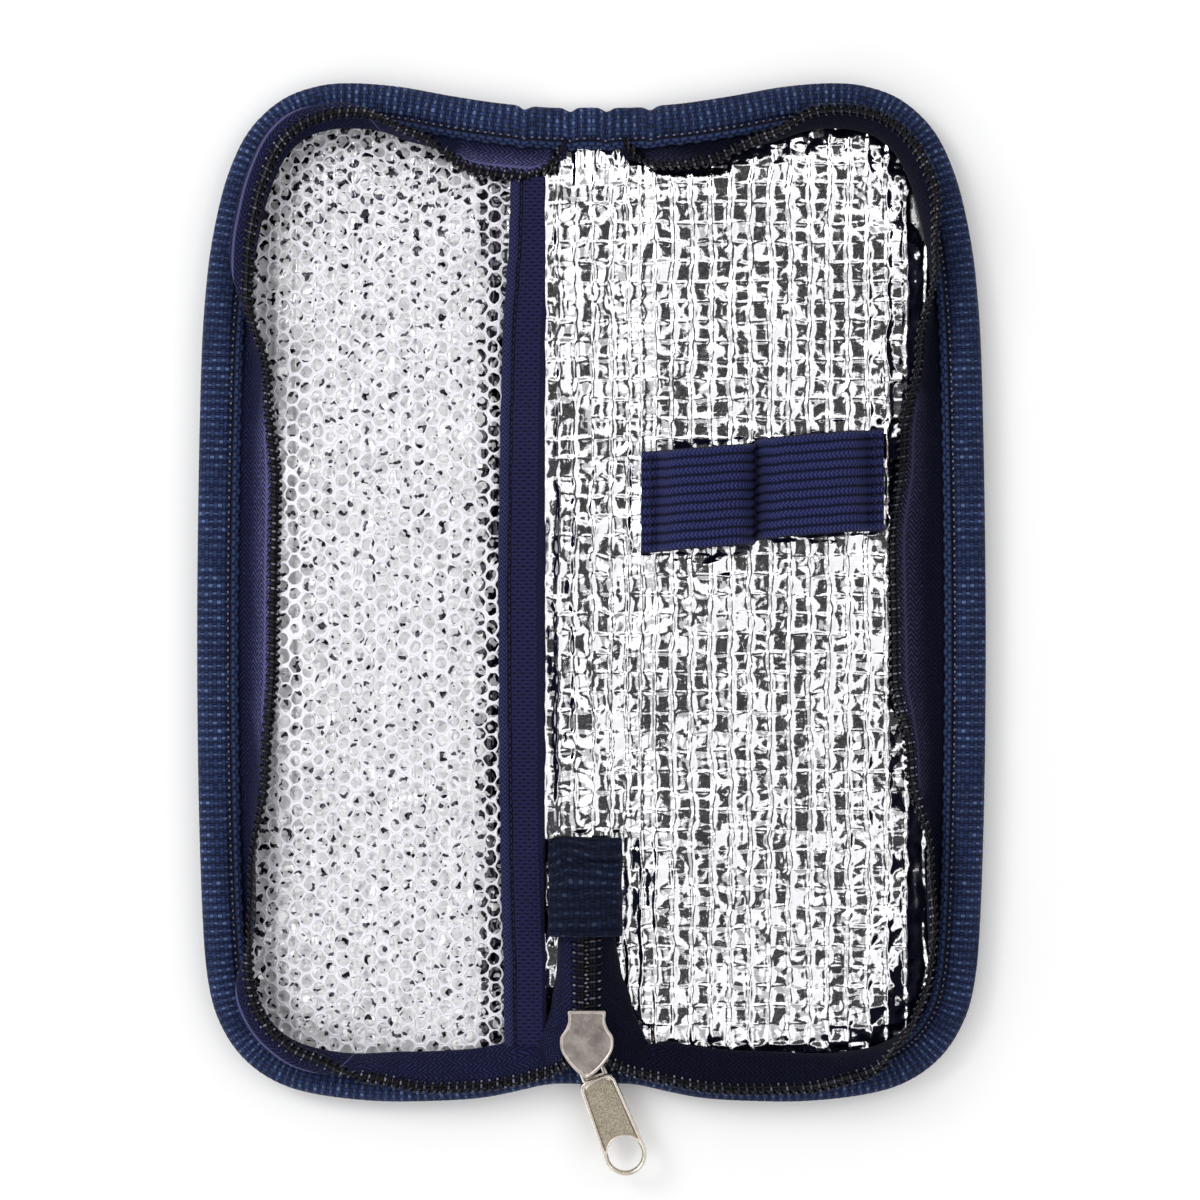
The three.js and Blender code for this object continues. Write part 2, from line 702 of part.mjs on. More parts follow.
function sliderBody() {
  const shape = sliderPlateShape(0);
  const channelTop = channelBottom + channelHeight;
  const lower = toSolid(plate(shape, plateBottom, plateThickness));
  const upper = toSolid(plate(shape, channelTop, plateThickness));
  // The post between the plates parts the two coils. It runs into both plates.
  const post = new THREE.Shape();
  post.moveTo(chainX, sliderTipY + postLength + 0.6 * postWidth);
  post.lineTo(chainX + postWidth / 2, sliderTipY + postLength);
  post.lineTo(chainX + postWidth / 4, sliderTipY + postInset);
  post.lineTo(chainX - postWidth / 4, sliderTipY + postInset);
  post.lineTo(chainX - postWidth / 2, sliderTipY + postLength);
  const sink = plateThickness / 2;
  const middle = toSolid(plate(post, channelBottom - sink, channelHeight + 2 * sink));
  // Low walls along the rear part of both plates, with a slot between them for the tapes
  const wallReach = 0.3 * sliderLength;
  const channelHalf = chainHalf + 0.5 * layerGap;
  const rearBlock = toSolid(
    block(
      [chainX - sliderHalfWidth - overrun, rearY - wallReach, channelBottom - sink],
      [chainX + sliderHalfWidth + overrun, rearY + overrun, channelTop + sink],
    ),
  );
  const channelCut = toSolid(
    block(
      [chainX - channelHalf, rearY - wallReach - overrun, channelBottom - plateThickness],
      [chainX + channelHalf, rearY + 2 * overrun, channelTop + plateThickness],
    ),
  );
  const slotCut = toSolid(
    block(
      [chainX - 2 * sliderHalfWidth, rearY - wallReach - overrun, chainZ - tapeSlot / 2],
      [chainX + 2 * sliderHalfWidth, rearY + 2 * overrun, chainZ + tapeSlot / 2],
    ),
  );
  const walls = toSolid(plate(shape, channelBottom - sink, channelHeight + 2 * sink))
    .intersect(rearBlock)
    .subtract(channelCut)
    .subtract(slotCut);
  // The bridge under the lower plate: a strap with a leg at each end
  const bridgeFront = sliderTipY + 0.13 * sliderLength;
  const bridgeRear = bridgeFront + bridgeLength;
  const halfBridge = bridgeWidth / 2;
  const strap = toSolid(
    block(
      [chainX - halfBridge, bridgeFront, bridgeBottom],
      [chainX + halfBridge, bridgeRear, bridgeBottom + bridgeThickness],
    ),
  );
  const legs = [bridgeFront, bridgeRear - bridgeThickness].map((y) =>
    toSolid(
      block(
        [chainX - halfBridge, y, bridgeBottom + bridgeThickness / 2],
        [chainX + halfBridge, y + bridgeThickness, plateBottom + sink],
      ),
    ),
  );
  return fromSolid([upper, middle, walls, strap, ...legs].reduce((whole, piece) => whole.add(piece), lower));
}

// The puller, made with its pivot at the origin and its length along -Y

function pullerShape(margin) {
  const shape = new THREE.Shape();
  const end = pullerEndRadius - margin;
  const neck = pullerNeckHalf - margin;
  const start = -padStart - margin;
  const corner = 0.35 * pullerNeckHalf;
  shape.moveTo(-neck + corner, start);
  shape.lineTo(neck - corner, start);
  shape.lineTo(neck, start - corner);
  shape.lineTo(end, -pullerHoleReach);
  shape.absarc(0, -pullerHoleReach, end, 0, -Math.PI, true);
  shape.lineTo(-neck, start - corner);
  return shape;
}

function pullerPlate() {
  const segments = { curveSegments: 18 };
  const whole = toSolid(plate(pullerShape(0), -pullerRimThickness / 2, pullerRimThickness, segments));
  const field = pullerShape(pullerRimWidth);
  const sink = (pullerRimThickness - pullerWeb) / 2;
  const over = toSolid(plate(field, pullerWeb / 2, sink + overrun, segments));
  const under = toSolid(plate(field, -pullerWeb / 2 - sink - overrun, sink + overrun, segments));
  const hole = new THREE.Shape();
  hole.absarc(0, -pullerHoleReach, pullerHoleRadius, 0, 2 * Math.PI, false);
  const bore = toSolid(plate(hole, -pullerRimThickness, 2 * pullerRimThickness, { curveSegments: 24 }));
  // The ring that the bridge goes through, with its bar on the pivot
  const ring = toSolid(
    block(
      [-ringHalfWidth, -padStart - 2 * ringBar, -ringThickness / 2],
      [ringHalfWidth, ringBar / 2, ringThickness / 2],
    ),
  );
  const ringRoom = toSolid(
    block(
      [-ringHalfWidth + ringBar, -padStart + 0.6 * ringBar, -ringThickness],
      [ringHalfWidth - ringBar, -ringBar / 2, ringThickness],
    ),
  );
  return fromSolid(whole.subtract(over).subtract(under).subtract(bore).add(ring.subtract(ringRoom)));
}

// The net pocket

const bandOuter = foldX + foldGap + bandWidth;
const netEdgeX = bandOuter + layerGap; // the net's free edge meets the band here
const netSeam = tapeExit + layerGap;
const netLevel = (halfRim.net.bottom + halfRim.net.top) / 2;

// How far the pocket's mouth is bowed up, along its length
const bowAt = (y) => 1 - rise((Math.abs(y) - bandBowFlat) / (bandBowEnd - bandBowFlat));

// Height of the net's middle, at a place and at a distance from the seam round it
function netHeight({ x, y }, distance) {
  const fromEdge = rise((x - netEdgeX) / (1.2 * bandWidth));
  const belly = mix(netEndBelly, netBelly, bowAt(y));
  const ground = liningLevels(netSeam + distance).top + layerGap + netThickness / 2;
  const least = Math.max(netLevel, ground);
  return least + mix(bandBow * bowAt(y), belly * rise(distance / netRise), fromEdge);
}

function distanceTo(outline, spot) {
  let least = Infinity;
  outline.slice(1).forEach((b, i) => {
    const a = outline[i];
    const along = b.clone().sub(a);
    const share = THREE.MathUtils.clamp(spot.clone().sub(a).dot(along) / along.lengthSq(), 0, 1);
    least = Math.min(least, a.clone().addScaledVector(along, share).distanceTo(spot));
  });
  return least;
}

// The net's holes: corners of a six-sided hole, as shares of the pitches
const holeShares = [[2 / 3, 0], [1 / 3, 1 / 2], [-1 / 3, 1 / 2], [-2 / 3, 0], [-1 / 3, -1 / 2], [1 / 3, -1 / 2]];

function netHoles(seam) {
  const columns = Math.ceil(halfWidth / netColumnPitch);
  const rows = Math.ceil(halfLength / netRowPitch);
  const open = 1 - netStrand / netColumnPitch;
  const holes = [];
  for (let column = 0; column < columns; column++) {
    for (let row = -rows; row <= rows; row++) {
      const x = netEdgeX + netMargin + netColumnPitch * (column + 2 / 3);
      const y = netRowPitch * (row + (column % 2) / 2);
      const hole = holeShares.map(
        ([u, v]) => new THREE.Vector2(x + u * netColumnPitch * open, y + v * netRowPitch * open),
      );
      if (hole.every((spot) => insideOutline(seam, spot) && distanceTo(seam, spot) > netMargin)) {
        holes.push(hole);
      }
    }
  }
  return holes;
}

function netPocket() {
  const stations = stationsOf(netEdgeX - foldX);
  const seam = stations.map((station) => inset(station, netSeam));
  const inner = stations.map((station) => inset(station, netSeam + netShoulder));
  const spotAt = ({ x, y }, z) => ({ x: -x, y, bottom: z - netThickness / 2, top: z + netThickness / 2 });
  const spotOnNet = (spot) => spotAt(spot, netHeight(spot, distanceTo(seam, spot)));
  const rings = [
    stations.map((station) => spotAt(inset(station, netInset), netLevel)),
    seam.map((spot) => spotAt(spot, netLevel)),
    inner.map((spot) => spotAt(spot, netHeight(spot, netShoulder))),
  ];
  const freeEdge = Array.from({ length: edgeSteps - 1 }, (_, n) => {
    const share = (n + 1) / edgeSteps;
    const spot = inner[0].clone().lerp(inner.at(-1), share);
    spot.x += netEdgeBow * (1 - (2 * share - 1) ** 2);
    return spotOnNet(spot);
  });
  const holes = netHoles(inner).map((hole) => hole.map(spotOnNet).reverse());
  return sheet(rings.map((ring) => ring.reverse()), freeEdge, holes);
}

// Tells whether a spot is inside a half's outline, which the fold line closes.
function insideOutline(outline, spot) {
  let inside = false;
  outline.forEach((a, i) => {
    const b = outline[(i + 1) % outline.length];
    const crosses = a.y > spot.y !== b.y > spot.y;
    if (crosses && spot.x < a.x + ((b.x - a.x) * (spot.y - a.y)) / (b.y - a.y)) {
      inside = !inside;
    }
  });
  return inside;
}

// The elastic band on the pocket's free edge, or a thread along it: a strip with four corners
function bandStrip(nearX, farX, lift, thickness, shorten) {
  const sections = Array.from({ length: edgeSteps + 1 }, (_, n) => {
    const y = mix(bandBottomY + shorten, bandTopY - shorten, n / edgeSteps);
    const z = halfField.lining.top + layerGap + lift + bandBow * bowAt(y);
    return [[nearX, z], [farX, z], [farX, z + thickness], [nearX, z + thickness]].map(
      ([x, level]) => new THREE.Vector3(-x, y, level),
    );
  });
  return loft(sections, sections[0].map(({ x, z }) => new THREE.Vector2(x, z)));
}

// The pen loops

const elasticBase = halfField.lining.top + layerGap + elasticThickness / 2;

// Middle line of the elastic strip, across the case
function elasticLine() {
  const spots = [[elasticStart, 0]];
  const foldHalf = elasticFoldFlat / 2;
  const spans = [
    [elasticStart + elasticFlat, elasticFold - foldHalf],
    [elasticFold + foldHalf, elasticEnd - elasticFlat],
  ];
  for (const [from, to] of spans) {
    for (let n = 0; n <= loopSteps; n++) {
      const share = n / loopSteps;
      spots.push([mix(from, to, share), loopRise * (1 - Math.abs(2 * share - 1) ** 3)]);
    }
  }
  spots.push([elasticEnd, 0]);
  return spots.map(([x, lift]) => new THREE.Vector2(x, elasticBase + lift));
}

// Draws an outline in X and Z across the strip's width, a little out of square.
function acrossElastic(outline, width) {
  const midX = (elasticStart + elasticEnd) / 2;
  const sections = [-width / 2, width / 2].map((offset) =>
    outline.map(({ x, y: z }) => new THREE.Vector3(x, elasticMidY + offset + elasticSkew * (x - midX), z)),
  );
  return loft(sections, outline);
}

const penLoops = () => acrossElastic(thicken(elasticLine(), elasticThickness), elasticWidth);

// A stitch bar that holds the strip down
function loopStitch(x) {
  const bottom = elasticBase + elasticThickness / 2 + threadHeight / 2;
  const corners = [[-1, 0], [1, 0], [1, 1], [-1, 1]];
  const outline = corners.map(
    ([u, v]) => new THREE.Vector2(x + (u * threadWidth) / 2, bottom + v * threadHeight),
  );
  return acrossElastic(outline, elasticWidth - 2 * stitchInset);
}

const loopStitches = {
  inner: elasticStart + elasticFlat / 2,
  middle: elasticFold,
  outer: elasticEnd - elasticFlat / 2,
};

// Materials

const finish = (color, roughness, metalness = 0) => new THREE.MeshStandardMaterial({ color, roughness, metalness });
const navyCloth = finish(0x27305a, 0.85);
const foam = finish(0xe6e4dc, 0.9);
const foil = finish(0xd2d2d4, 0.2, 1);
const navyBinding = finish(0x2b3150, 0.8);
const zipCloth = finish(0x23253f, 0.85);
const nylon = finish(0x0e0f18, 0.35);
const net = finish(0xe9e9ee, 0.6);
const elastic = finish(0x24284a, 0.8);
const thread = finish(0x1d2140, 0.7);
const nickel = finish(0x99918a, 0.3, 1);

// The assembly

const insulinCase = new THREE.Group();

function addPiece(parent, name, geometry, material) {
  const mesh = new THREE.Mesh(geometry, material);
  mesh.name = name;
  parent.add(mesh);
  return mesh;
}

function addHalf(name, side, coilShares) {
  const half = new THREE.Group();
  addPiece(half, `${name}_outer_cover`, halfLayer(side, panelInset, coverLevels), navyCloth);
  addPiece(half, `${name}_foam_pad`, halfLayer(side, foamInset, foamLevels), foam);
  addPiece(half, `${name}_foil_lining`, halfLayer(side, panelInset, liningLevels), foil);
  addPiece(half, `${name}_edge_binding`, halfBinding(side), navyBinding);
  addPiece(half, `${name}_zipper_tape`, zipTape(side, coilShares), zipCloth);
  addPiece(half, `${name}_zipper_coil`, zipCoil(side, coilShares), nylon);
  insulinCase.add(half);
  return half;
}

const rightHalf = addHalf("right", 1, rightCoilShares);
addPiece(rightHalf, "pen_loop_elastic", penLoops(), elastic);
for (const [place, x] of Object.entries(loopStitches)) {
  addPiece(rightHalf, `pen_loop_stitch_${place}`, loopStitch(x), thread);
}

const spine = new THREE.Group();
addPiece(spine, "spine_outer_cover", spineLayer(panelInset, spineCoverLevels), navyCloth);
addPiece(spine, "spine_foam_pad", spineLayer(foamInset, spineFoamLevels), foam);
addPiece(spine, "spine_foil_lining", spineLayer(panelInset, spineLiningLevels), foil);
addPiece(spine, "spine_binding_top", spineBinding(spineTopY, -1), navyBinding);
addPiece(spine, "spine_binding_bottom", spineBinding(spineBottomY, 1), navyBinding);
addPiece(spine, "tail_tape_right", tailTape(1), zipCloth);
addPiece(spine, "tail_tape_left", tailTape(-1), zipCloth);
addPiece(spine, "tail_coil_right", tailCoil(1), nylon);
addPiece(spine, "tail_coil_left", tailCoil(-1), nylon);
addPiece(spine, "zipper_end_tab", endTab(), navyBinding);
insulinCase.add(spine);

const leftHalf = addHalf("left", -1, leftCoilShares);
const bandNear = foldX + foldGap;
addPiece(leftHalf, "mesh_pocket", netPocket(), net);
addPiece(leftHalf, "pocket_elastic_band", bandStrip(bandNear, bandOuter, 0, bandThickness, 0), elastic);
const stitchX = bandOuter - bandWidth / 3;
const stitchLift = bandThickness + threadHeight / 2;
addPiece(
  leftHalf,
  "pocket_band_stitching",
  bandStrip(stitchX, stitchX + threadWidth, stitchLift, threadHeight, stitchInset),
  thread,
);

addPiece(insulinCase, "slider_body", sliderBody(), nickel);
const puller = addPiece(insulinCase, "slider_puller", pullerPlate(), nickel);
puller.position.set(chainX, pivotY, pivotZ);
puller.rotation.z = pullerTurn;

export default insulinCase;
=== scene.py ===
"""A zipped, foil-lined fold-over case for insulin pens, lying open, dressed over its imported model.

Shapes are worked out in millimetres and turned into metres as each mesh is made. A half's shapes
are worked out for x over zero and mirrored for the left half, so a side is 1 or -1.
"""
import math

import bmesh
import bpy
import numpy as np
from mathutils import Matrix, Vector


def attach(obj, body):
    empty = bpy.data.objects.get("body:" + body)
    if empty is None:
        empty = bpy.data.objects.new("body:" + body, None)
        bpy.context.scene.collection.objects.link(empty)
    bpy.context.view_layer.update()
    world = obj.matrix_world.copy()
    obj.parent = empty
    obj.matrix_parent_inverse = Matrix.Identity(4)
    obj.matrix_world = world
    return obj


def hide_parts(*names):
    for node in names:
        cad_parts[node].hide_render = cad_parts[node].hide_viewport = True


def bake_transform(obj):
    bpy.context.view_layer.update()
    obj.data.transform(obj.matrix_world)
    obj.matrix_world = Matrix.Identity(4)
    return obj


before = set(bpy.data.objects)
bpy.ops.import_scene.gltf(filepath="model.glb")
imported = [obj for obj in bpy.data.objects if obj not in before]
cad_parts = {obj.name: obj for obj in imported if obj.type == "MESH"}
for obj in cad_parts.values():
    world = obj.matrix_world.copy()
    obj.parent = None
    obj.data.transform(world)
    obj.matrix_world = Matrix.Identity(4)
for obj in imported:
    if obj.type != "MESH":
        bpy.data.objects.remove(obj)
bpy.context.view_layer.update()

MM = 0.001

# The case as a whole
half_width = 68
half_length = 100
fold_x = 9
fold_reach = 4.6  # the fabric turns over this far on each side of a fold line
step_start = 7  # where the spine's lower rim starts to rise to the halves' rim
step_length = 7
half_names = {1: "right", -1: "left"}

# The outline of a half: shares of the half's width, out from the fold, and of half the length.
outline_shares = [
    (0, 0.955), (0.12, 0.96), (0.27, 0.975), (0.42, 0.993), (0.56, 1), (0.66, 0.993), (0.76, 0.966),
    (0.85, 0.908), (0.91, 0.825), (0.95, 0.72), (0.975, 0.6), (0.99, 0.42), (1, 0.03), (0.998, -0.33),
    (0.985, -0.63), (0.965, -0.77), (0.925, -0.85), (0.86, -0.91), (0.77, -0.952), (0.66, -0.975),
    (0.5, -0.988), (0.35, -0.989), (0.18, -0.982), (0, -0.959),
]
spine_top_y = outline_shares[0][1] * half_length
spine_bottom_y = outline_shares[-1][1] * half_length

# Levels: on the spine, and on a half
rim_bottom = (0, 1.1)
rim_top = (3.6, 6.3)
cover_rim = (1.1, 2.2)
cover_field = (0, 0)
lining_rim = (2.5, 3.6)
lining_field = (3.4, 4.7)
seam_level = (2.7, 4.95)
rim_slope = 7.8

# Cover and foam
cover_thickness = 0.6
cover_edge = 3  # the cover ends this far inside the outer edge, in the binding
cover_spacing = 1.3
foam_bottom = 0.9
foam_edge = 12.5
foam_spacing = 2
foam_end_x = 90  # past the outer edge
foam_gap = 0.7  # between a fold line and a pad
foam_room = 2  # kept free under the lining
foam_gap_up = 0.05  # kept between the cover and the foam's mesh
foam_slope = 6  # the pads get thinner over this far inside their edge
foam_rim_share = 0.35
half_foam = (2.9, 0.8)  # how thick the pad is, and how thick its mesh is
spine_foam = (1.6, 0.7)

# Foil
foil_cell = 3.82
foil_spacing = {1: 0.3, -1: 0.42}
foil_edge = 4.2  # the foil's cut edge lies this far inside the outer edge, under the binding
foil_fall = 0.8  # how far the lining falls away towards the outer edge, from fall_start over fall_reach
fall_start = 36
fall_reach = 30
crowd_shifts = {fold_x: 1.8, -fold_x: 1.5}  # how far the strands are pushed together at each fold
crowd_reach = 4
strand_rise = 0.36
strand_lean = 0.09
cross_strand_rise = 0.17
cell_tilt = 1.2
strand_half = 0.35
lean_end = 0.3  # a strand's lean fades out from here
# A cell's flanks down from the strands at its left, right, lower and upper side: the least reach,
# how much wider they get, and the power of the luck that decides it
cell_flanks = [(0.5, 1.9, 1.2), (0.45, 1.3, 1.5), (0.36, 0.9, 2), (0.36, 0.9, 2)]
# Where cells puff up, out to the sides, downwards and upwards: how much, from where, and over what
foil_puffs = [(1, 46, 16), (0.5, 46, 30), (0.3, 74, 20)]
fold_rise = 0.09
spine_crease = 0.2
# Uneven places, as rows of height, size and seed
foil_waves = [(0.03, 0.8, 17), (0.55, 11.0, 19)]
foil_waves_x = [(0.4, 6.0, 1), (0.16, 2.2, 14)]
foil_waves_y = [(0.3, 6.0, 2), (0.12, 2.2, 15)]
net_side = -14
net_puff = 0.9  # how much more uneven the foil is under the net
band_shade_span = (-22.5, -20.5)  # between these, painted shade in the foil's creases thickens beside the band
roll_end, roll_length, roll_drop = 21.5, 4.5, 0.9  # where the foil rolls down beside the band
roll_start = (12, 4)  # where the roll sets in, and how long that takes
foil_gather = 0.3
foil_gather_size = 1.3
foil_gather_end = (14.5, 5)  # how far in the gathers go, and how long they take to fade
foil_gather_turn = (50, 12)  # where they turn from the ends' direction to the long side's
lining_sink = 0.3  # the foil's middle level lies this far under the lining's
foil_gap = 0.15  # kept between the cover and the foil

# Edge binding
binding_width = 8.2
weave_row = 1.57  # the yarns across the binding lie this far apart
weave_column = 0.845
weave_relief = 0.16
weave_ease = 0.1  # half of how far the weave and the braid run into each other
braid_width = 1.6
braid_lane = 0.78
groove_across = 2.05  # from the binding's inner edge to the groove of its seam
stitch_pitch = 1.57
seam_width = 0.34
binding_grain = 0.26  # how finely the binding is cut
rim_wave = 0.14  # how far its inner edge goes in and out between stitches
rim_wave_start = 6.7
rim_wave_ease = 1.2
rim_puff = 0.18
rim_puff_size = 9.0
seam_rise = 0.18  # from the groove's floor to the middle of its stitches
gather_rise = 0.25
gather_depth = 0.8
gather_reach = 1.1
gather_fade = 14  # the gathers draw nothing in this far in
gather_x = {1: (11.5, 3.0), -1: (4.2, 13.0)}
rim_length = 360
section_length = 23

# The section of the binding: shares of its width, in from the edge, and of the rim's height
binding_outer_shares = [
    (1, 0.05), (0.86, 0.05), (0.72, 0.12), (0.55, 0.02), (0.3, -0.01), (0.12, 0.06), (0.01, 0.3),
    (0, 0.62), (0.08, 0.88), (0.26, 1.04), (0.46, 1.06), (0.62, 1.02), (0.69, 0.97), (0.757, 0.84),
    (0.82, 0.95), (0.9, 1), (0.975, 0.96), (1, 0.9),
]
binding_inner_shares = [
    (1, 0.84), (0.71, 0.76), (0.3, 0.84), (0.14, 0.7), (0.14, 0.3), (0.3, 0.14), (0.71, 0.24), (1, 0.16),
]
groove_share = (0.757, 0.84)

# Zip
coil_width = 2.9
coil_height = 1.6
coil_pitch = 1.58
coil_wire = 0.37  # radius of the coil's wire
tape_exit = 8.8
tape_tuck = 5.2  # the tape is tucked into the binding this far from the outer edge
tape_free = 9.3
tape_thickness = 0.45
tape_columns = 16
tape_herringbone = 2.4
painted_shade_rows = 3  # the cloth's look is shifted by this many herringbones where the tape stands, so its painted shade falls there
curled_rows = 6
tape_end_share = 0.2  # the tape's edge and its sewn-in end lie this share of a coil's width back
tape_ripple = 0.2
rise_from = 0.03  # the coil rises out of the spine's binding from this far before the start
coil_lift = 0.3  # kept under a coil that lies on the foil or the binding
curl_reach = 9  # how far the tape curls out over the binding at the left half's corners
curl_line = 1.4  # from the tape's painted edge highlight to the crease where it curls
coil_reach = binding_width + tape_free
coil_start_x = 11.4

# Zip tail
chain_x = -0.9
chain_z = 9.1
closed_width = 4.0  # width of a coil where it meshes with the other
tail_coil_middle = 1.15  # from the chain's middle to the middle of one coil
tab_length = 19
tab_width = 14.5
tab_x = -1.2
tab_weave = 0.8  # the tab's weave is this much coarser than the binding's
tail_length = 29.7
tab_grip = 5
tab_y = spine_bottom_y + tail_length
tab_bottom = 3.7
tab_top = 11.25
tab_waves = [(0.55, 4.0, 71), (0.3, 1.7, 74)]
tab_hem = (4.2, 0.55)  # how wide its hem is, and how high
tab_side_waves = [(0.22, 2.4, 72)]
tab_top_waves = [(0.35, 1.6, 73)]
tab_top_share = 0.72  # the waves of its top edge reach down to here
tab_warps = ([(0.7, 4.0, 75)], [(0.5, 3.0, 76)])  # how its weave is warped, along and across
# Up the tab from its foot: shares of its height and of its width
tab_crown = [(0, 0.93), (0.06, 1), (0.5, 1), (0.8, 0.82), (0.94, 0.5), (1, 0.3)]
tab_taper = [(0, 0.98), (0.05, 1), (0.9, 1), (1, 0.95)]
tab_pull = 0.5
tab_fold = (1.5, 0.45)
slider_tip_y = spine_bottom_y + 2.4
slider_length = 13.1
slider_half_width = 5.2
mouth_y = slider_tip_y + 4
rear_y = slider_tip_y + slider_length
post_room = 2.95  # from the chain's middle to a coil beside the slider's post
tail_end_x = 7.7
tail_end_z = 7.15
tail_seam_rise = 0.5
tail_stand = 1.6
tail_tuck = 0.2

# The tail tape's sewn edge: places along the tail, and distances from the chain's middle
tail_edge_sizes = {
    1: [(-87.5, 11.2), (-79.6, 8.4), (-73, 6.3), (-67.8, 5.4), (-55, 5.0)],
    -1: [(-87.5, 9.8), (-79.6, 6.6), (-73, 5.6), (-67.8, 5.3), (-55, 5.0)],
}

# Where the coil lies, going round from the top fold to the bottom fold: a share of the way round,
# and the coil's distance from the outer edge as a share of the binding and the free tape together.
# Before the start, each coil goes on over the spine and ends under the spine's binding.
coil_shares = {
    1: [
        (-0.03, 0.3), (-0.018, 0.36), (-0.013, 0.48), (-0.007, 0.6), (0, 0.68), (0.03, 0.7),
        (0.07, 0.54), (0.11, 0.35), (0.17, 0.34), (0.23, 0.32), (0.28, 0.46), (0.34, 0.72), (0.4, 0.92),
        (0.47, 1.03), (0.55, 1.01), (0.61, 0.86), (0.67, 0.62), (0.72, 0.55), (0.78, 0.57),
        (0.82, 0.49), (0.86, 0.28), (0.9, 0.19), (0.95, 0.16), (1, 0.16),
    ],
    -1: [
        (-0.03, 0.3), (-0.021, 0.36), (-0.0175, 0.5), (-0.011, 0.7), (0, 0.8), (0.03, 0.8),
        (0.07, 0.53), (0.11, 0.38), (0.17, 0.42), (0.22, 0.45), (0.26, 0.46), (0.3, 0.5), (0.36, 0.78),
        (0.43, 0.89), (0.54, 0.88), (0.61, 0.79), (0.68, 0.61), (0.76, 0.5), (0.81, 0.5), (0.85, 0.46),
        (0.89, 0.31), (0.94, 0.18), (1, 0.15),
    ],
}
# Where each coil starts under the spine's binding: a share of the way round, before the start
coil_start_share = {1: -0.019, -1: -0.022}
# How far the tape stands up, by the way round
stand_shares = [
    (-0.03, 0.0), (0, 0.18), (0.04, 0.35), (0.1, 0.75), (0.86, 0.75), (0.93, 0.45), (1, 0.37),
]
# Where the tape leaves the binding straight up, and where it curls out, by the way round
upright_shares = [
    (-0.03, 0), (0.07, 0), (0.12, 1), (0.28, 1), (0.35, 0), (0.7, 0), (0.76, 1), (0.86, 1), (0.92, 0),
    (1, 0),
]
curl_shares = {
    1: [(-0.03, 0), (1, 0)],
    -1: [
        (-0.03, 0), (0.07, 0), (0.13, 0.7), (0.18, 1), (0.27, 1), (0.34, 0), (0.71, 0), (0.77, 0.8),
        (0.85, 0.8), (0.9, 0), (1, 0),
    ],
}

# Net
net_column = 2.38
net_row = 3.2
net_columns = (-1, 26)
net_rows = (-34, 35)
net_hole = (1.3, 1.42)  # half the width and half the height of a hole
net_edge_x = 19.2  # middle of the column of holes beside the band
net_seam = 7.4
net_belly = (3.2, 5.6)
net_rise = 13.5
net_inside = 9.1  # the net leaves the lining this far inside the outer edge
net_ground = 4.15
net_over = 0.85
net_slope = (8.5, 9.8)  # from the band's edge: where the net starts to rise, and how long
net_tuck = (18.6, 1.6)  # where it goes down under the band, and how long
net_bunch = 1.6  # how far its rows are pushed together at the top
net_waves = [(0.45, 14.0, 31), (0.25, 6.0, 32)]
net_waves_x = [(0.8, 17.0, 33), (0.28, 6.0, 35)]
net_waves_y = [(0.8, 17.0, 34), (0.28, 6.0, 36)]
mouth_bow = 4.7
mouth_flat = 25
mouth_end = 44
net_thickness = 0.22
net_luck = (0.09, 0.1, 0.07)  # how uneven its holes' sizes, places and edges are
# The six-sided border of a net's cell, round the middle of its hole
net_border = [
    (1.728, 0), (1.19, 0.8), (0.652, 1.6), (0, 1.6), (-0.652, 1.6), (-1.19, 0.8),
    (-1.728, 0), (-1.19, -0.8), (-0.652, -1.6), (0, -1.6), (0.652, -1.6), (1.19, -0.8),
]

# Band on the net's free edge
band_near = 9.0
band_top_y = spine_top_y - 14
band_bottom_y = spine_bottom_y + 7.9
band_far_sizes = [(-83.5, 17.0), (-40, 17.9), (0, 18.1), (40, 17.6), (79.5, 15.8)]
band_thickness = 0.8
band_seam = 2.2  # its stitching lies this far inside the edge that holds the net
band_knit = (2.0, 7.4)  # the knit part, across the band
band_rows, band_columns = 420, 46
band_over = 0.4  # from the lining to the band
band_groove, band_groove_reach = 0.4, 0.45
band_rib, band_rib_pitch = 0.1, 0.83
band_roll = 0.25
band_edge = 0.3
band_waves = [(0.25, 11.0, 53)]
band_near_waves = [(0.12, 5.0, 51)]
band_far_waves = [(0.1, 3.0, 52)]
band_stitch = 1.5

# Pen loops
elastic_width = 19.8
elastic_thickness = 1
elastic_start = 9.7
elastic_end = 57
elastic_flat = 3.6
elastic_fold = 32
elastic_fold_flat = 1.3
loop_squareness = 4.5
elastic_mid_y = 20.2
elastic_skew = 0.077
loop_rise = 5.9
rib_rise = 0.22
selvedge_drop = 0.3
elastic_wave = 0.12
loop_stitch = 1.5
rib_count = 11
loop_step = 0.85  # the outer loop lies this much further up the case
elastic_base = lining_field[1] + 0.3 + elastic_thickness / 2
elastic_mid_x = (elastic_start + elastic_end) / 2

# Slider: shares along it, from its rear, and of half its width
slider_shares = [
    (0, 0.0), (0, 0.34), (0.004, 0.66), (0.04, 0.71), (0.15, 0.69), (0.27, 0.79), (0.38, 0.97),
    (0.47, 1), (0.56, 0.98), (0.66, 0.87), (0.81, 0.6), (0.92, 0.33), (0.98, 0.12), (1, 0),
]
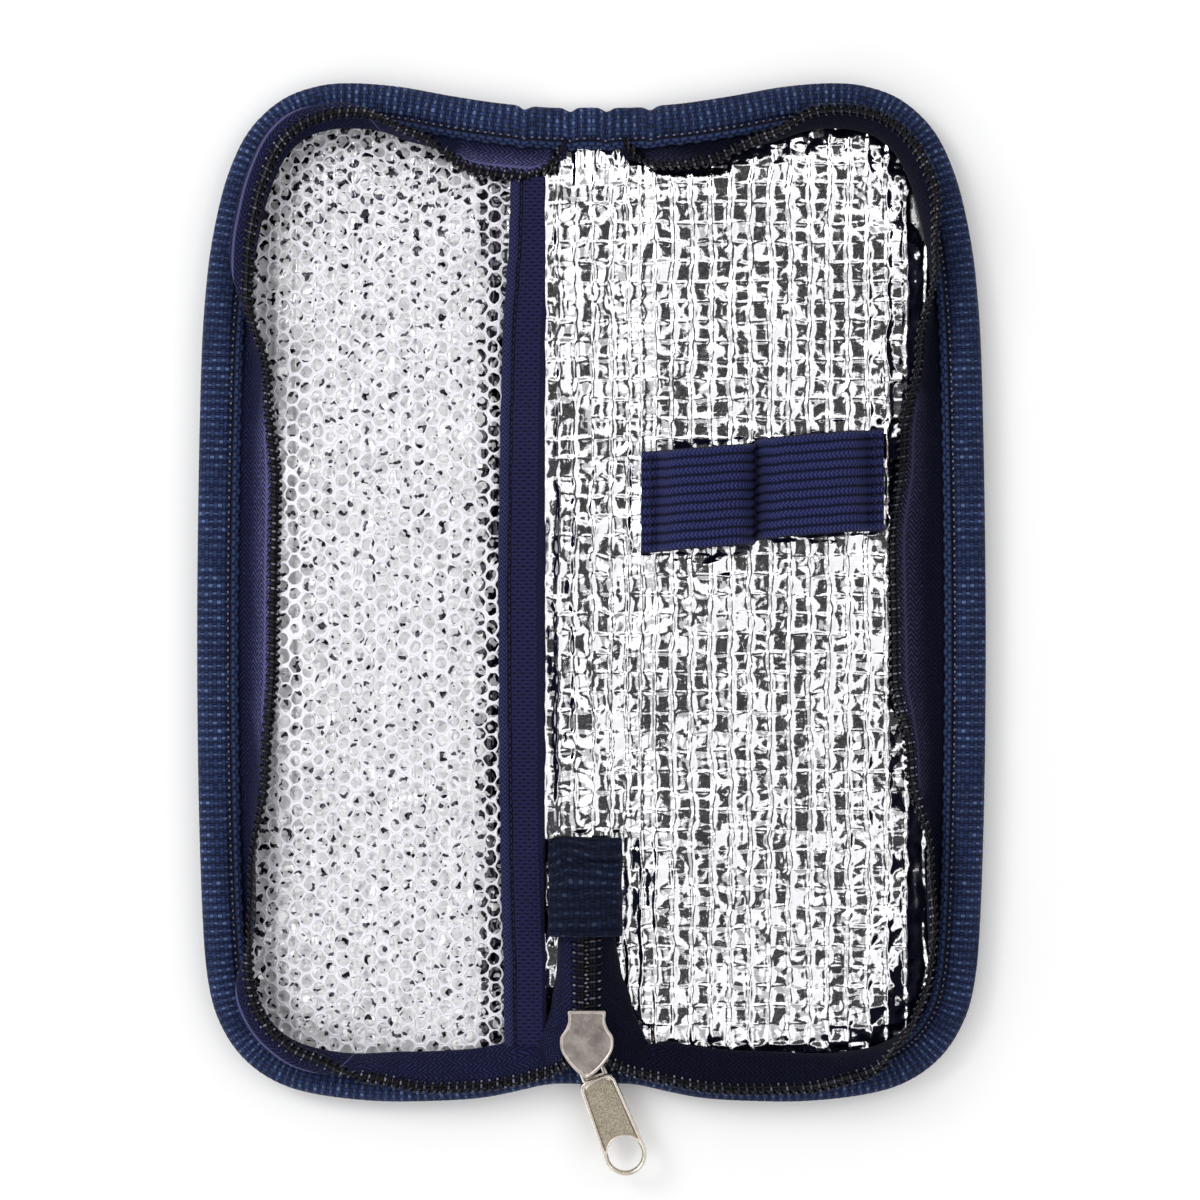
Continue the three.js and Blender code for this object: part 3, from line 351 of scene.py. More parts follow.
# Its top face: margins and heights over the channel, across its raised rim to its field
slider_top_rows = [
    (0.2, 0), (0, 0.15), (0, 0.62), (0.08, 0.82), (0.22, 0.9), (0.36, 0.84), (0.48, 0.77), (0.7, 0.76),
    (1.1, 0.8),
]
plate_bottom = 7.0
plate_top = 7.9
channel_top = 10.3
metal_overlap = 0.2  # how far the slider's metal forms run into each other
wall_inside, wall_outside = 3.2, 3.6
wall_rows = [(plate_top - metal_overlap, 8.5), (9.7, channel_top + metal_overlap)]  # bottoms and tops
wall_y = (3.9, 0.3)  # its walls lie between these, before its rear
plate_edge, wall_edge = 0.25, 0.1
# The post between its plates, from the chain's middle and from its tip
slider_post = [(0, 5.4), (-1.2, 4), (-0.6, 0.5), (0.6, 0.5), (1.2, 4)]
bridge_half = 0.75
bridge_length = 8
bridge_leg = 0.7
bridge_share = 0.13  # its front, as a share of the slider's length
bridge_levels = (3.95, 4.6)
leg_levels = (4.2, plate_bottom + metal_overlap)
bridge_edge, leg_edge = 0.18, 0.12
# Going round a plate's rounded edge, from its face to its side: shares of the edge's radius
round_edge = [(1.6, 0), (1, 0), (0.5, 0.13), (0.13, 0.5), (0, 1)]

# Puller
pivot_y = slider_tip_y + 3.5
pivot_z = 5.3
puller_turn = math.radians(21.5)
hole_reach = 20.4
hole_radius = 3.5
puller_end = 4.25
puller_neck = 3.6
puller_rim = 0.7
pad_start = 4.4
# Sections of the puller's rim, its eye and its ring: shares of the width, and of half the thickness
rim_section = [
    (0, -0.5), (0, 0.5), (0.12, 0.84), (0.34, 1), (0.66, 1), (0.88, 0.84), (1, 0.5), (1, -0.5),
    (0.88, -0.84), (0.66, -1), (0.34, -1), (0.12, -0.84), (0, -0.5),
]

# Camera, over the middle of the photographed frame
camera_height = 700
camera_x = 1.67
camera_y = -0.98
view_width = 235.8
camera_range = (0.01, 20)

# Light
sky_strength = 1.32
lamp_spot = (0.8, 0.5, 0.9)
lamp_size = 0.5
lamp_watts = {"left_lamp": (-1, 4.0), "right_lamp": (1, 1.0)}
floor_level = -0.2
floor_reach = 3000


# Small helpers

def smooth(share):
    share = np.clip(share, 0, 1)
    return share * share * (3 - 2 * share)


def mix(a, b, share):
    return a + (b - a) * share


def bell(distance, reach, power=2):
    """Falls from 1 at no distance to nearly 0 at twice the reach."""
    return np.exp(-((distance / reach) ** power))


def read_shares(rows, places):
    """Reads a table of places and values at places between them, smoothly."""
    at, values = np.array(rows, float).T
    after = np.clip(np.searchsorted(at, places), 1, len(at) - 1)
    share = (places - at[after - 1]) / (at[after] - at[after - 1])
    return mix(values[after - 1], values[after], smooth(share))


def unit(vectors):
    return vectors / np.linalg.norm(vectors, axis=-1, keepdims=True)


def ways(points):
    """The direction of a line of points at each of them."""
    return unit(np.gradient(points, axis=0))


def lengths_along(points):
    return np.append(0, np.cumsum(np.linalg.norm(np.diff(points, axis=0), axis=1)))


def read_points(places, lengths, points):
    """Points at places along a line."""
    return np.column_stack([np.interp(places, lengths, column) for column in points.T])


def stacked(*parts):
    """Coordinates, spread to one shape, as points."""
    return np.stack(np.broadcast_arrays(*parts), -1)


def even_curve(points, count):
    """Points spaced evenly along a smooth curve through the given ones, and their places along it."""
    p = np.array(points, float)
    padded = np.vstack([p[:1], p, p[-1:]])
    share = np.linspace(0, 1, 60, endpoint=False)[:, None]
    runs = []
    for a, b, c, d in zip(padded, padded[1:], padded[2:], padded[3:]):
        leave, arrive = (c - a) / 2, (d - b) / 2
        cubic = 2 * b - 2 * c + leave + arrive
        square = 3 * c - 3 * b - 2 * leave - arrive
        runs.append(cubic * share**3 + square * share**2 + leave * share + b)
    fine = np.vstack(runs + [p[-1:]])
    lengths = lengths_along(fine)
    places = np.linspace(0, lengths[-1], count + 1)
    return read_points(places, lengths, fine), places


def bezier(a, b, c, d, share):
    rest = 1 - share
    return a * rest**3 + 3 * b * rest**2 * share + 3 * c * rest * share**2 + d * share**3


def smoothed(points, times=3):
    points = points.copy()
    for _ in range(times):
        points[1:-1] = (points[:-2] + 2 * points[1:-1] + points[2:]) / 4
    return points


def noise(x, y, size, seed):
    """Smooth random numbers from -1 to 1 that change over the given size."""
    cells = 251
    numbers = np.random.default_rng(seed).uniform(-1, 1, (cells, cells))
    across, along = np.asarray(x) / size, np.asarray(y) / size
    i, j = np.floor(across).astype(int), np.floor(along).astype(int)
    a, b = smooth(across - i), smooth(along - j)
    low = mix(numbers[i % cells, j % cells], numbers[(i + 1) % cells, j % cells], a)
    high = mix(numbers[i % cells, (j + 1) % cells], numbers[(i + 1) % cells, (j + 1) % cells], a)
    return mix(low, high, b)


def waves(rows, x, y):
    """Noise added up; each row has its height, its size and its seed."""
    return sum(height * noise(x, y, size, seed) for height, size, seed in rows)


# Making pieces

def add_piece(name, mesh, material):
    mesh.shade_smooth()
    mesh.materials.append(material)
    piece = bpy.data.objects.new(name, mesh)
    bpy.context.scene.collection.objects.link(piece)
    return piece


def make_piece(name, points, faces, material, uv=None, side=1):
    """A smooth mesh object from points in millimetres and arrays of corner numbers.

    A half's points are put on their side, with the faces still pointing out.
    """
    points = np.reshape(points, (-1, 3)) * (side, 1, 1)
    faces = [face[:, ::side] for face in faces]
    corners = np.concatenate([face.ravel() for face in faces]).astype(np.int32)
    sizes = np.concatenate([np.full(len(face), face.shape[1]) for face in faces])
    starts = np.append(0, np.cumsum(sizes)[:-1]).astype(np.int32)
    mesh = bpy.data.meshes.new(name)
    mesh.vertices.add(len(points))
    mesh.vertices.foreach_set("co", (points * MM).astype(np.float32).ravel())
    mesh.loops.add(len(corners))
    mesh.loops.foreach_set("vertex_index", corners)
    mesh.polygons.add(len(sizes))
    mesh.polygons.foreach_set("loop_start", starts)
    mesh.update(calc_edges=True)
    if uv is not None:
        layer = mesh.uv_layers.new(name="cloth")
        layer.data.foreach_set("uv", np.reshape(uv, (-1, 2)).astype(np.float32)[corners].ravel())
    mesh.validate()
    return add_piece(name, mesh, material)


def thicken(piece, thickness, offset=-1.0):
    """Gives a sheet a thickness, behind it or, where the offset is 0, half on each side."""
    modifier = piece.modifiers.new("thickness", "SOLIDIFY")
    modifier.thickness = thickness * MM
    modifier.offset = offset


def grid_faces(rows, columns, closed=False):
    """Quads between the neighbours in a grid of points; closed joins the last column to the first."""
    row = np.arange(rows - 1)[:, None]
    column = np.arange(columns if closed else columns - 1)[None]
    a = row * columns + column
    b = row * columns + (column + 1) % columns
    return np.stack([a, a + columns, b + columns, b], -1).reshape(-1, 4)


def tube(middle, across, over, width, height, sides):
    """A tube along a line, with its section's width along across and its height along over."""
    turn = (2 * np.pi * np.arange(sides) / sides)[None, :, None]
    ring = across[:, None] * np.cos(turn) * width / 2 + over[:, None] * np.sin(turn) * height / 2
    return (middle[:, None] + ring).reshape(-1, 3), grid_faces(len(middle), sides, closed=True)


def ride(piece, body, slot, *nodes):
    """Lets a piece ride on a body; a side stands for its half, where the piece only has its place baked into
    its points.
    """
    if nodes:
        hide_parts(*nodes)
    if body in half_names:
        start, end = [(body * (fold_x + reach) * MM, 0, 0) for reach in (fold_reach, -fold_reach)]
        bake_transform(piece)
        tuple(start)
        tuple(end)
    else:
        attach(piece, body)


# The rim of a half, from the spine's middle line at the top round to the same line at the bottom

outline_points = [
    (0, spine_top_y),
    *[(fold_x + u * half_width, v * half_length) for u, v in outline_shares],
    (0, spine_bottom_y),
]


class Rim:
    """Stations round the rim: where each is, its way in, its length so far and its share."""

    def __init__(self, count):
        self.spot, self.along = even_curve(outline_points, count)
        forward = ways(self.spot)
        self.inward = np.column_stack([forward[:, 1], -forward[:, 0]])
        quarter = count // 4
        start = np.interp(coil_start_x, self.spot[:quarter, 0], self.along[:quarter])
        end = np.interp(coil_start_x, self.spot[-quarter:][::-1, 0], self.along[-quarter:][::-1])
        self.place = (self.along - start) / (end - start)

    def inset(self, distance):
        """Spots at a distance in from the rim; distance has a row for each station."""
        return self.spot[:, None, :] + self.inward[:, None, :] * np.asarray(distance)[..., None]


coarse_rim = Rim(560)


def edge_distance(x, y):
    """Distance in from the outer edge, under zero outside it, worked out for some spots at a time."""
    spots = np.column_stack([np.ravel(x), np.ravel(y)])
    found = []
    for part in np.array_split(spots, len(spots) // 20000 + 1):
        away = part[:, None, :] - coarse_rim.spot[None]
        nearest = np.argmin((away**2).sum(-1), axis=1)
        found.append((away[np.arange(len(part)), nearest] * coarse_rim.inward[nearest]).sum(-1))
    return np.concatenate(found).reshape(np.shape(x))


def level(levels, x):
    """A level at a distance from the spine's middle line: the spine's, then the half's."""
    return mix(*levels, smooth((np.abs(x) - step_start) / step_length))


def sunk(rim, field, x, distance):
    """A level that goes from the rim's to the field's inside the binding."""
    return mix(level(rim, x), level(field, x), smooth((distance - binding_width) / rim_slope))


def lining_top(x, distance):
    return sunk(lining_rim, lining_field, x, distance)


def cover_inside(x, distance):
    return sunk(cover_rim, cover_field, x, distance) + cover_thickness


def plan_grid(spacing, margin):
    """A square grid over a half and half the spine, further in than margin, with its quads."""
    x = np.arange(0, fold_x + half_width, spacing)
    y = np.arange(-half_length, half_length, spacing)
    gx, gy = np.meshgrid(x, y, indexing="ij")
    distance = edge_distance(gx, gy)
    inside = distance > margin
    number = np.cumsum(inside).reshape(inside.shape) - 1
    corners = [number[:-1, :-1], number[1:, :-1], number[1:, 1:], number[:-1, 1:]]
    whole = inside[:-1, :-1] & inside[1:, :-1] & inside[1:, 1:] & inside[:-1, 1:]
    faces = np.stack([corner[whole] for corner in corners], -1)
    return gx[inside], gy[inside], distance[inside], faces


# Materials

def colour(red, green, blue, lightness=1.0):
    """A colour given as it is seen on a screen, from 0 to 255."""
    shares = [value * lightness / 255 for value in (red, green, blue)]
    return (*[s / 12.92 if s <= 0.04045 else ((s + 0.055) / 1.055) ** 2.4 for s in shares], 1)


class Output:
    """What a node gives out. A sum with it adds the nodes that work the sum out."""

    def __init__(self, nodes, socket):
        self.nodes = nodes
        self.socket = socket

    def __add__(self, other):
        return self.nodes.maths("ADD", self, other)

    def __sub__(self, other):
        return self.nodes.maths("SUBTRACT", self, other)

    def __rsub__(self, other):
        return self.nodes.maths("SUBTRACT", other, self)

    def __mul__(self, other):
        return self.nodes.maths("MULTIPLY", self, other)

    def __truediv__(self, other):
        return self.nodes.maths("DIVIDE", self, other)

    def __abs__(self):
        return self.nodes.maths("ABSOLUTE", self)

    __radd__ = __add__
    __rmul__ = __mul__

    def floor(self):
        return self.nodes.maths("FLOOR", self)

    def stripe(self):
        """Distance from the middle between two whole numbers, from 0 to 0.5."""
        return abs(self.nodes.maths("FRACT", self) - 0.5)

    def map(self, low, high, to_low=0.0, to_high=1.0):
        """Goes smoothly from one number at low to another at high."""
        inputs = {0: self, 1: low, 2: high, 3: to_low, 4: to_high}
        return self.nodes.add("ShaderNodeMapRange", inputs, interpolation_type="SMOOTHSTEP")


class Nodes:
    """Adds nodes to a tree. Each method adds one or a few and gives back the output."""

    def __init__(self, tree):
        self.tree = tree

    def put(self, value, socket):
        if isinstance(value, Output):
            self.tree.links.new(value.socket, socket)
        else:
            socket.default_value = value

    def add(self, kind, inputs, output=0, **settings):
        node = self.tree.nodes.new(kind)
        for name, value in settings.items():
            setattr(node, name, value)
        for key, value in inputs.items():
            self.put(value, node.inputs[key])
        return Output(self, node.outputs[output])

    def maths(self, operation, *values):
        return self.add("ShaderNodeMath", dict(enumerate(values)), operation=operation)

    def parts(self, vector):
        whole = self.add("ShaderNodeSeparateXYZ", {0: vector})
        return [Output(self, socket) for socket in whole.socket.node.outputs]

    def noise(self, vector, scale, detail=2.0):
        return self.add("ShaderNodeTexNoise", {"Vector": vector, "Scale": scale, "Detail": detail})

    def speckle(self, x, y=0.0):
        """A random number for each whole place."""
        place = self.add("ShaderNodeCombineXYZ", {0: x, 1: y})
        return self.add("ShaderNodeTexWhiteNoise", {"Vector": place})

    def blend(self, share, a, b):
        return self.add("ShaderNodeMix", {0: share, 6: a, 7: b}, 2, data_type="RGBA")


class Look(Nodes):
    """A material and the nodes of its surface."""

    def __init__(self, name, roughness, metallic=0.0, sheen=0.0, specular=0.5):
        self.material = bpy.data.materials.new(name)
        self.material.use_nodes = True
        super().__init__(self.material.node_tree)
        self.shader = next(n for n in self.tree.nodes if n.type == "BSDF_PRINCIPLED")
        self.set(Roughness=roughness, Metallic=metallic, Sheen_Weight=sheen, Specular_IOR_Level=specular)

    def set(self, **inputs):
        for name, value in inputs.items():
            self.put(value, self.shader.inputs[name.replace("_", " ")])

    def cloth(self):
        """Place on the cloth in millimetres, along and across."""
        vector = self.add("ShaderNodeUVMap", {}, uv_map="cloth")
        return (vector, *self.parts(vector)[:2])

    def solid(self):
        """Place in the piece, in metres."""
        return self.add("ShaderNodeTexCoord", {}, "Object")

    def scaled(self, vector, scale):
        return self.add("ShaderNodeMapping", {0: vector, 3: scale})

    def paint(self, shade, height, distance, strength=1.0):
        """Sets the colour, and bumps as high as shares of a distance in millimetres."""
        inputs = {"Height": height, "Distance": distance * MM, "Strength": strength}
        self.set(Base_Color=shade, Normal=self.add("ShaderNodeBump", inputs))
        return self.material


def binding_cloth(name, lightness):
    """A coarse plain weave: yarns across it show as light dashes, and a braid runs along its inner edge. The
    gaps between its yarns and its seam's groove are painted dark, as shade.

    The place across is measured from the inner edge.
    """
    look = Look(name, 0.8, sheen=0.04 * lightness, specular=0.14 * lightness)
    vector, along, across = look.cloth()
    row = (look.noise(vector, 0.5) * 0.7 + along) / weave_row
    column = across / weave_column
    whole = row.floor() + column.floor()
    odd = look.maths("GREATER_THAN", abs(look.maths("MODULO", whole, 2.0)), 0.5)
    from_row, from_column = row.stripe(), column.stripe()
    luck = look.speckle(row.floor(), column.floor())
    dash = (from_row / luck.map(0, 1, 0.17, 0.28)).map(0.3, 1, 1, 0)
    dash = dash * from_column.map(0.38, 0.5, 1, 0.1) * (odd * 0.86 + 0.14)
    dash = dash * luck.map(0, 1, 0.5, 0.95) * look.noise(vector, 0.14, 1.0).map(0.38, 0.6, 0.35, 1.1)
    beside = from_row.map(0.2, 0.4, 0.9, 0) * odd
    bar = from_column.map(0.26, 0.48, 1, 0.3) * from_row.map(0.32, 0.48, 1, 0.2) * (1.0 - beside)
    fibre = look.noise(look.scaled(vector, (5, 1.5, 1)), 2.4)
    worn = look.noise(vector, 0.16)
    ground = look.blend(worn, colour(32, 45, 88, lightness), colour(54, 73, 128, lightness))
    # Painted shade in the gaps between the yarns and round the dashes.
    ground = look.blend(bar * fibre.map(0.2, 0.8, 0.55, 1), colour(8, 10, 24), ground)
    shade = look.blend(dash, ground, colour(98, 120, 164, lightness))
    lane = across / braid_lane
    step = lane.floor() * 0.5 + along / weave_row
    braid = step.stripe().map(0.2, 0.46, 1, 0) * lane.stripe().map(0.2, 0.46, 1, 0.2)
    edge = look.blend(braid, colour(12, 18, 44), colour(44, 60, 98))
    shade = look.blend(across.map(braid_width - 0.1, braid_width + 0.1, 1, 0), shade, edge)
    # Painted shade in the seam's groove.
    groove = abs(across - groove_across).map(0.22, 0.5, 1, 0)
    shade = look.blend(groove, shade, colour(9, 11, 27))
    return look.paint(shade, fibre * 0.35 + (bar * 0.7 + dash * 0.6), 0.2, 0.8)


def twill_cloth(name, lightness):
    """A herringbone twill with painted light: paler by the coil, with painted highlight lines on its edge
    and at the crease where it curls.

    The place across is measured from the coil, and runs under zero.
    """
    look = Look(name, 0.8, sheen=0.03 * lightness, specular=0.09 * lightness)
    vector, along, across = look.cloth()
    turned = (across / tape_herringbone).stripe() * 3.2
    grain = look.noise(vector, 1.7, 1.0).map(0.36, 0.64, 0.35, 1)
    height = (along + turned).stripe().map(0.1, 0.38, 1, 0) * grain
    # Painted light: the cloth is paler towards the coil and darker away from it.
    near = across.map(-6.5, -0.8)
    ground = look.blend(near, colour(10, 12, 34, lightness), colour(30, 31, 64, lightness))
    light = look.blend(near, colour(40, 44, 88, lightness), colour(112, 112, 162, lightness))
    shade = look.blend(height * look.noise(vector, 0.4).map(0.2, 0.8, 0.6, 1), ground, light)
    # Painted highlight lines on the tape's edge and at the crease where it curls.
    edge_highlight, curl_highlight = 1.45, 1.15 + curl_line + curled_rows * tape_herringbone
    from_highlight = look.maths("MINIMUM", abs(across + edge_highlight), abs(across + curl_highlight))
    shade = look.blend(from_highlight.map(0.1, 0.4, 0.65, 0), shade, colour(96, 94, 142, lightness))
    return look.paint(shade, height, 0.14)


def nylon():
    """Black nylon, with painted highlights as pale spots on the outer side of each turn.

    Along the cloth's places, the turns are counted, and across them 1 is the wire's outer side.
    """
    look = Look("zip_coil", 0.2, specular=0.15)
    _, turn, facing = look.cloth()
    smear = look.noise(look.solid(), 900.0)
    place = look.maths("FRACT", turn * 2.0) * 0.5
    spot = (place - 0.19) / 0.12
    # Painted highlight: a pale spot on the outer side of each turn, where a lamp would glint.
    painted_glint = spot.stripe().map(0.16, 0.34, 1, 0) * facing.map(0.62, 0.86)
    painted_glint = painted_glint * abs(place - 0.25).map(0.17, 0.2, 1, 0)
    painted_glint = painted_glint * look.speckle(spot.floor(), turn.floor()).map(0, 1, 0, 1)
    painted_glint = painted_glint * look.noise(look.solid(), 45.0).map(0.4, 0.6, 0.25, 1)
    black = look.blend(smear, colour(4, 4, 8), colour(12, 12, 20))
    # The pale spots blended in here are painted highlights.
    look.set(Base_Color=look.blend(painted_glint, black, colour(128, 128, 146)))
    look.set(Roughness=smear.map(0.3, 0.7, 0.14, 0.26))
    return look.material


def foil_laminate():
    """A mirror film over a scrim, finely crumpled. Under the net it is frosted, with painted shade in dark
    crease-shaped patches, more of them beside the band and the net's edges.
    """
    look = Look("foil", 0.06, metallic=1.0)
    vector, x, y = look.cloth()
    crumple = look.noise(vector, 0.9, 3.0)
    fine = look.noise(vector, 3.5, 2.0)
    film = look.blend(crumple, colour(244, 243, 246), colour(228, 228, 232))
    under_net = x.map(net_side - 5, net_side, 1, 0)
    # Painted shade: dark crease-shaped patches under the net, more of them beside the band and towards the
    # net's edges.
    shade_by_band = x.map(*band_shade_span, 0, 0.2)
    shade_by_edge = x.map(-66, -60, 0.09, 0) + y.map(62, 80, 0, 0.08)
    painted_shade = look.maths("GREATER_THAN", look.noise(vector, 0.6, 1.0), 0.62 - (shade_by_band + shade_by_edge))
    frosted = under_net * (1.0 - painted_shade)
    # The painted shade darkens the film's colour there.
    film = look.blend(under_net * painted_shade, film, colour(96, 94, 102))
    frost = look.blend(crumple.map(0.36, 0.46), colour(212, 212, 220), colour(255, 255, 255))
    look.set(Metallic=frosted * -0.72 + 1.0)
    look.set(Roughness=fine.map(0.3, 0.7, 0.02, 0.08))
    return look.paint(look.blend(frosted, film, frost), fine * 0.2 + crumple, 0.12, 0.5)


def net_yarn():
    look = Look("net", 0.5, specular=0.3)
    vector, along, across = look.cloth()
    twist = ((along + across) * 2.6).stripe()
    fibre = look.noise(vector, 5.0)
    shade = look.blend(fibre, colour(234, 233, 243), colour(249, 248, 253))
    return look.paint(shade, twist + fibre, 0.06, 0.6)


def loop_elastic():
    """Elastic in raised ribs of fine zigzag stitches, with painted shade in the lines between the ribs and
    dimmer stitches there.
    """
    look = Look("loop_elastic", 0.75, sheen=0.03, specular=0.12)
    vector, along, across = look.cloth()
    lane = across / (elastic_width / rib_count)
    raised = lane.stripe().map(0.03, 0.24)
    turned = (across / 0.9).stripe() * 0.9 + look.speckle(lane.floor())
    stitch = ((along + turned) / 0.8).stripe().map(0.08, 0.36, 1, 0)
    ground = look.blend(look.noise(vector, 0.25), colour(19, 22, 54), colour(26, 30, 70))
    # Painted shade: stitches are dimmed and the lines between the ribs darkened.
    shade = look.blend(stitch * (raised * 0.75 + 0.15), ground, colour(56, 62, 116))
    between = look.blend(0.35, colour(3, 4, 14), shade)
    return look.paint(look.blend(raised, between, shade), stitch * 0.6 + raised, 0.16)


def band_elastic():
    """The pocket's band: fine twill by the net, a seam line darkened with painted shade in its groove, a
    knit with open stitches, a plain edge.

    The place across is measured from the edge that holds the net.
    """
    look = Look("band_elastic", 0.75, sheen=0.03, specular=0.12)
    vector, along, across = look.cloth()
    knit_start, knit_end = band_knit
    turned = (across / 1.2).stripe() * 2.0
    line = ((along + turned) / 0.9).stripe().map(0.05, 0.42, 1, 0)
    lane = (across - 0.1) / 0.86
    step = lane.floor() * 0.5 + along / 1.38
    open_stitch = step.stripe().map(0.1, 0.22, 1, 0) * lane.stripe().map(0.14, 0.3, 1, 0)
    ground = look.blend(look.noise(vector, 0.3), colour(17, 18, 46), colour(24, 25, 60))
    knit = look.blend((along / 0.69).stripe().map(0.1, 0.5, 0.5, 0), ground, colour(44, 45, 92))
    knit = look.blend(open_stitch, knit, colour(5, 6, 20))
    twill = look.blend(line, colour(16, 18, 44), colour(50, 53, 98))
    plain = look.blend(line * 0.5, colour(14, 15, 40), colour(34, 35, 74))
    shade = look.blend(across.map(knit_start - 0.1, knit_start + 0.1), twill, knit)
    shade = look.blend(across.map(knit_end - 0.1, knit_end + 0.1), shade, plain)
    # Painted shade in the seam's groove.
    groove = abs(across - band_seam).map(0.2, 0.5, 0.85, 0)
    return look.paint(look.blend(groove, shade, colour(5, 6, 16)), line * 0.4 - open_stitch, 0.14)


def thread(name, low, high):
    look = Look(name, 0.7, specular=0.3)
    twist = look.noise(look.solid(), 3000.0)
    return look.paint(look.blend(twist, low, high), twist, 0.05)


def cover_weave():
    """Fine, dense plain-woven polyester."""
    look = Look("cover_cloth", 0.75, sheen=0.04, specular=0.14)
    vector, along, across = look.cloth()
    height = ((along / 0.55).stripe() * 2.0) * ((across / 0.5).stripe() * 2.0)
    ground = look.blend(look.noise(vector, 0.08, 4.0), colour(20, 26, 60), colour(30, 38, 78))
    return look.paint(look.blend(height, ground, colour(54, 62, 112)), height, 0.14)


def foam_cells():
    look = Look("foam", 0.9)
    cells = look.noise(look.solid(), 1400.0, 3.0)
    return look.paint(look.blend(cells, colour(226, 223, 214), colour(242, 240, 234)), cells, 0.3)


def nickel(name, low, high, roughness):
    """Satin nickel, finely mottled, and faintly brushed along the piece."""
    look = Look(name, roughness, metallic=1.0)
    spot = look.solid()
    brushed = look.noise(look.scaled(spot, (1, 0.5, 1)), 3600.0, 3.0)
    mixed = brushed * 0.4 + look.noise(spot, 420.0, 4.0) * 0.6
    look.set(Roughness=mixed.map(0.3, 0.7, roughness - 0.05, roughness + 0.05))
    return look.paint(look.blend(mixed.map(0.3, 0.7), low, high), brushed, 0.01, 0.4)


def sanded_nickel():
    """The puller's sunk field: a sandy grain."""
    look = Look("puller_field", 0.5, metallic=1.0)
    grain = look.noise(look.solid(), 4600.0)
    look.set(Roughness=grain.map(0.3, 0.7, 0.42, 0.56))
    shade = look.blend(grain.map(0.35, 0.65), colour(152, 141, 122), colour(198, 188, 170))
    return look.paint(shade, grain, 0.07)


# The covers, foam pads and linings

def panel(name, side, spacing, margin, heights, material):
    """A sheet over a half and half the spine, with its height worked out at each point."""
    x, y, distance, faces = plan_grid(spacing, margin)
    points = np.column_stack([x, y, heights(x, y, distance)])
    return make_piece(name, points, [faces], material, stacked(side * x, y), side)


def outer_cover(side, material):
    def heights(x, y, distance):
        return cover_inside(x, distance) - cover_thickness

    half = half_names[side]
    piece = panel(f"{half}_cover_cloth", side, cover_spacing, cover_edge, heights, material)
    for polygon in piece.data.polygons:
        polygon.flip()
    thicken(piece, cover_thickness)
    ride(piece, side, "cover_cloth", f"{half}_outer_cover", "spine_outer_cover")


def foam_pad(x_from, x_to, thickness, skin):
    """A flat pad under the lining, thinner towards its edges."""
    x, y, distance, faces = plan_grid(foam_spacing, foam_edge)
    kept = (x >= x_from) & (x <= x_to)
    number = np.cumsum(kept) - 1
    faces = number[faces[kept[faces].all(axis=1)]]
    crown = smooth((distance - foam_edge) / foam_slope + foam_rim_share)
    room = lining_top(x, distance) + foil_crown(x) - foam_room
    top = np.minimum(foam_bottom + thickness * crown, room)
    top = np.maximum(top, cover_inside(x, distance) + skin + foam_gap_up)
    return np.column_stack([x, y, top])[kept], faces


def foam_pads(material):
    thickness, skin = half_foam
    points, faces = foam_pad(fold_x + foam_gap, foam_end_x, thickness, skin)
    for side, half in half_names.items():
        piece = make_piece(f"{half}_foam", points, [faces], material, side=side)
        thicken(piece, skin)
        ride(piece, f"{half}_half", "foam", f"{half}_foam_pad")
    thickness, skin = spine_foam
    points, faces = foam_pad(0, fold_x - foam_gap, thickness, skin)
    both = np.vstack([points, points * (-1, 1, 1)])
    piece = make_piece("spine_foam", both, [faces, faces[:, ::-1] + len(points)], material)
    thicken(piece, skin)
    ride(piece, "spine", "foam", "spine_foam_pad")


def foil_crown(x):
    """How far the lining falls away towards the outer edge."""
    return -foil_fall * np.clip((np.abs(x) - fall_start) / fall_reach, 0, 1) ** 4


def cell_luck(i, j, seed):
    """A random number from 0 to 1 for each cell of the foil."""
    cells = 97
    numbers = np.random.default_rng(seed).uniform(0, 1, (cells, cells))
    return numbers[i % cells, j % cells]


def flank(away, least, wider, share):
    """The foil's slope down from a strand, as a share of the strand's height, widest mid-cell."""
    reach = least + wider * (4 * share * (1 - share)) ** 1.2
    return np.clip(1 - away / reach, 0, 1) ** 1.5


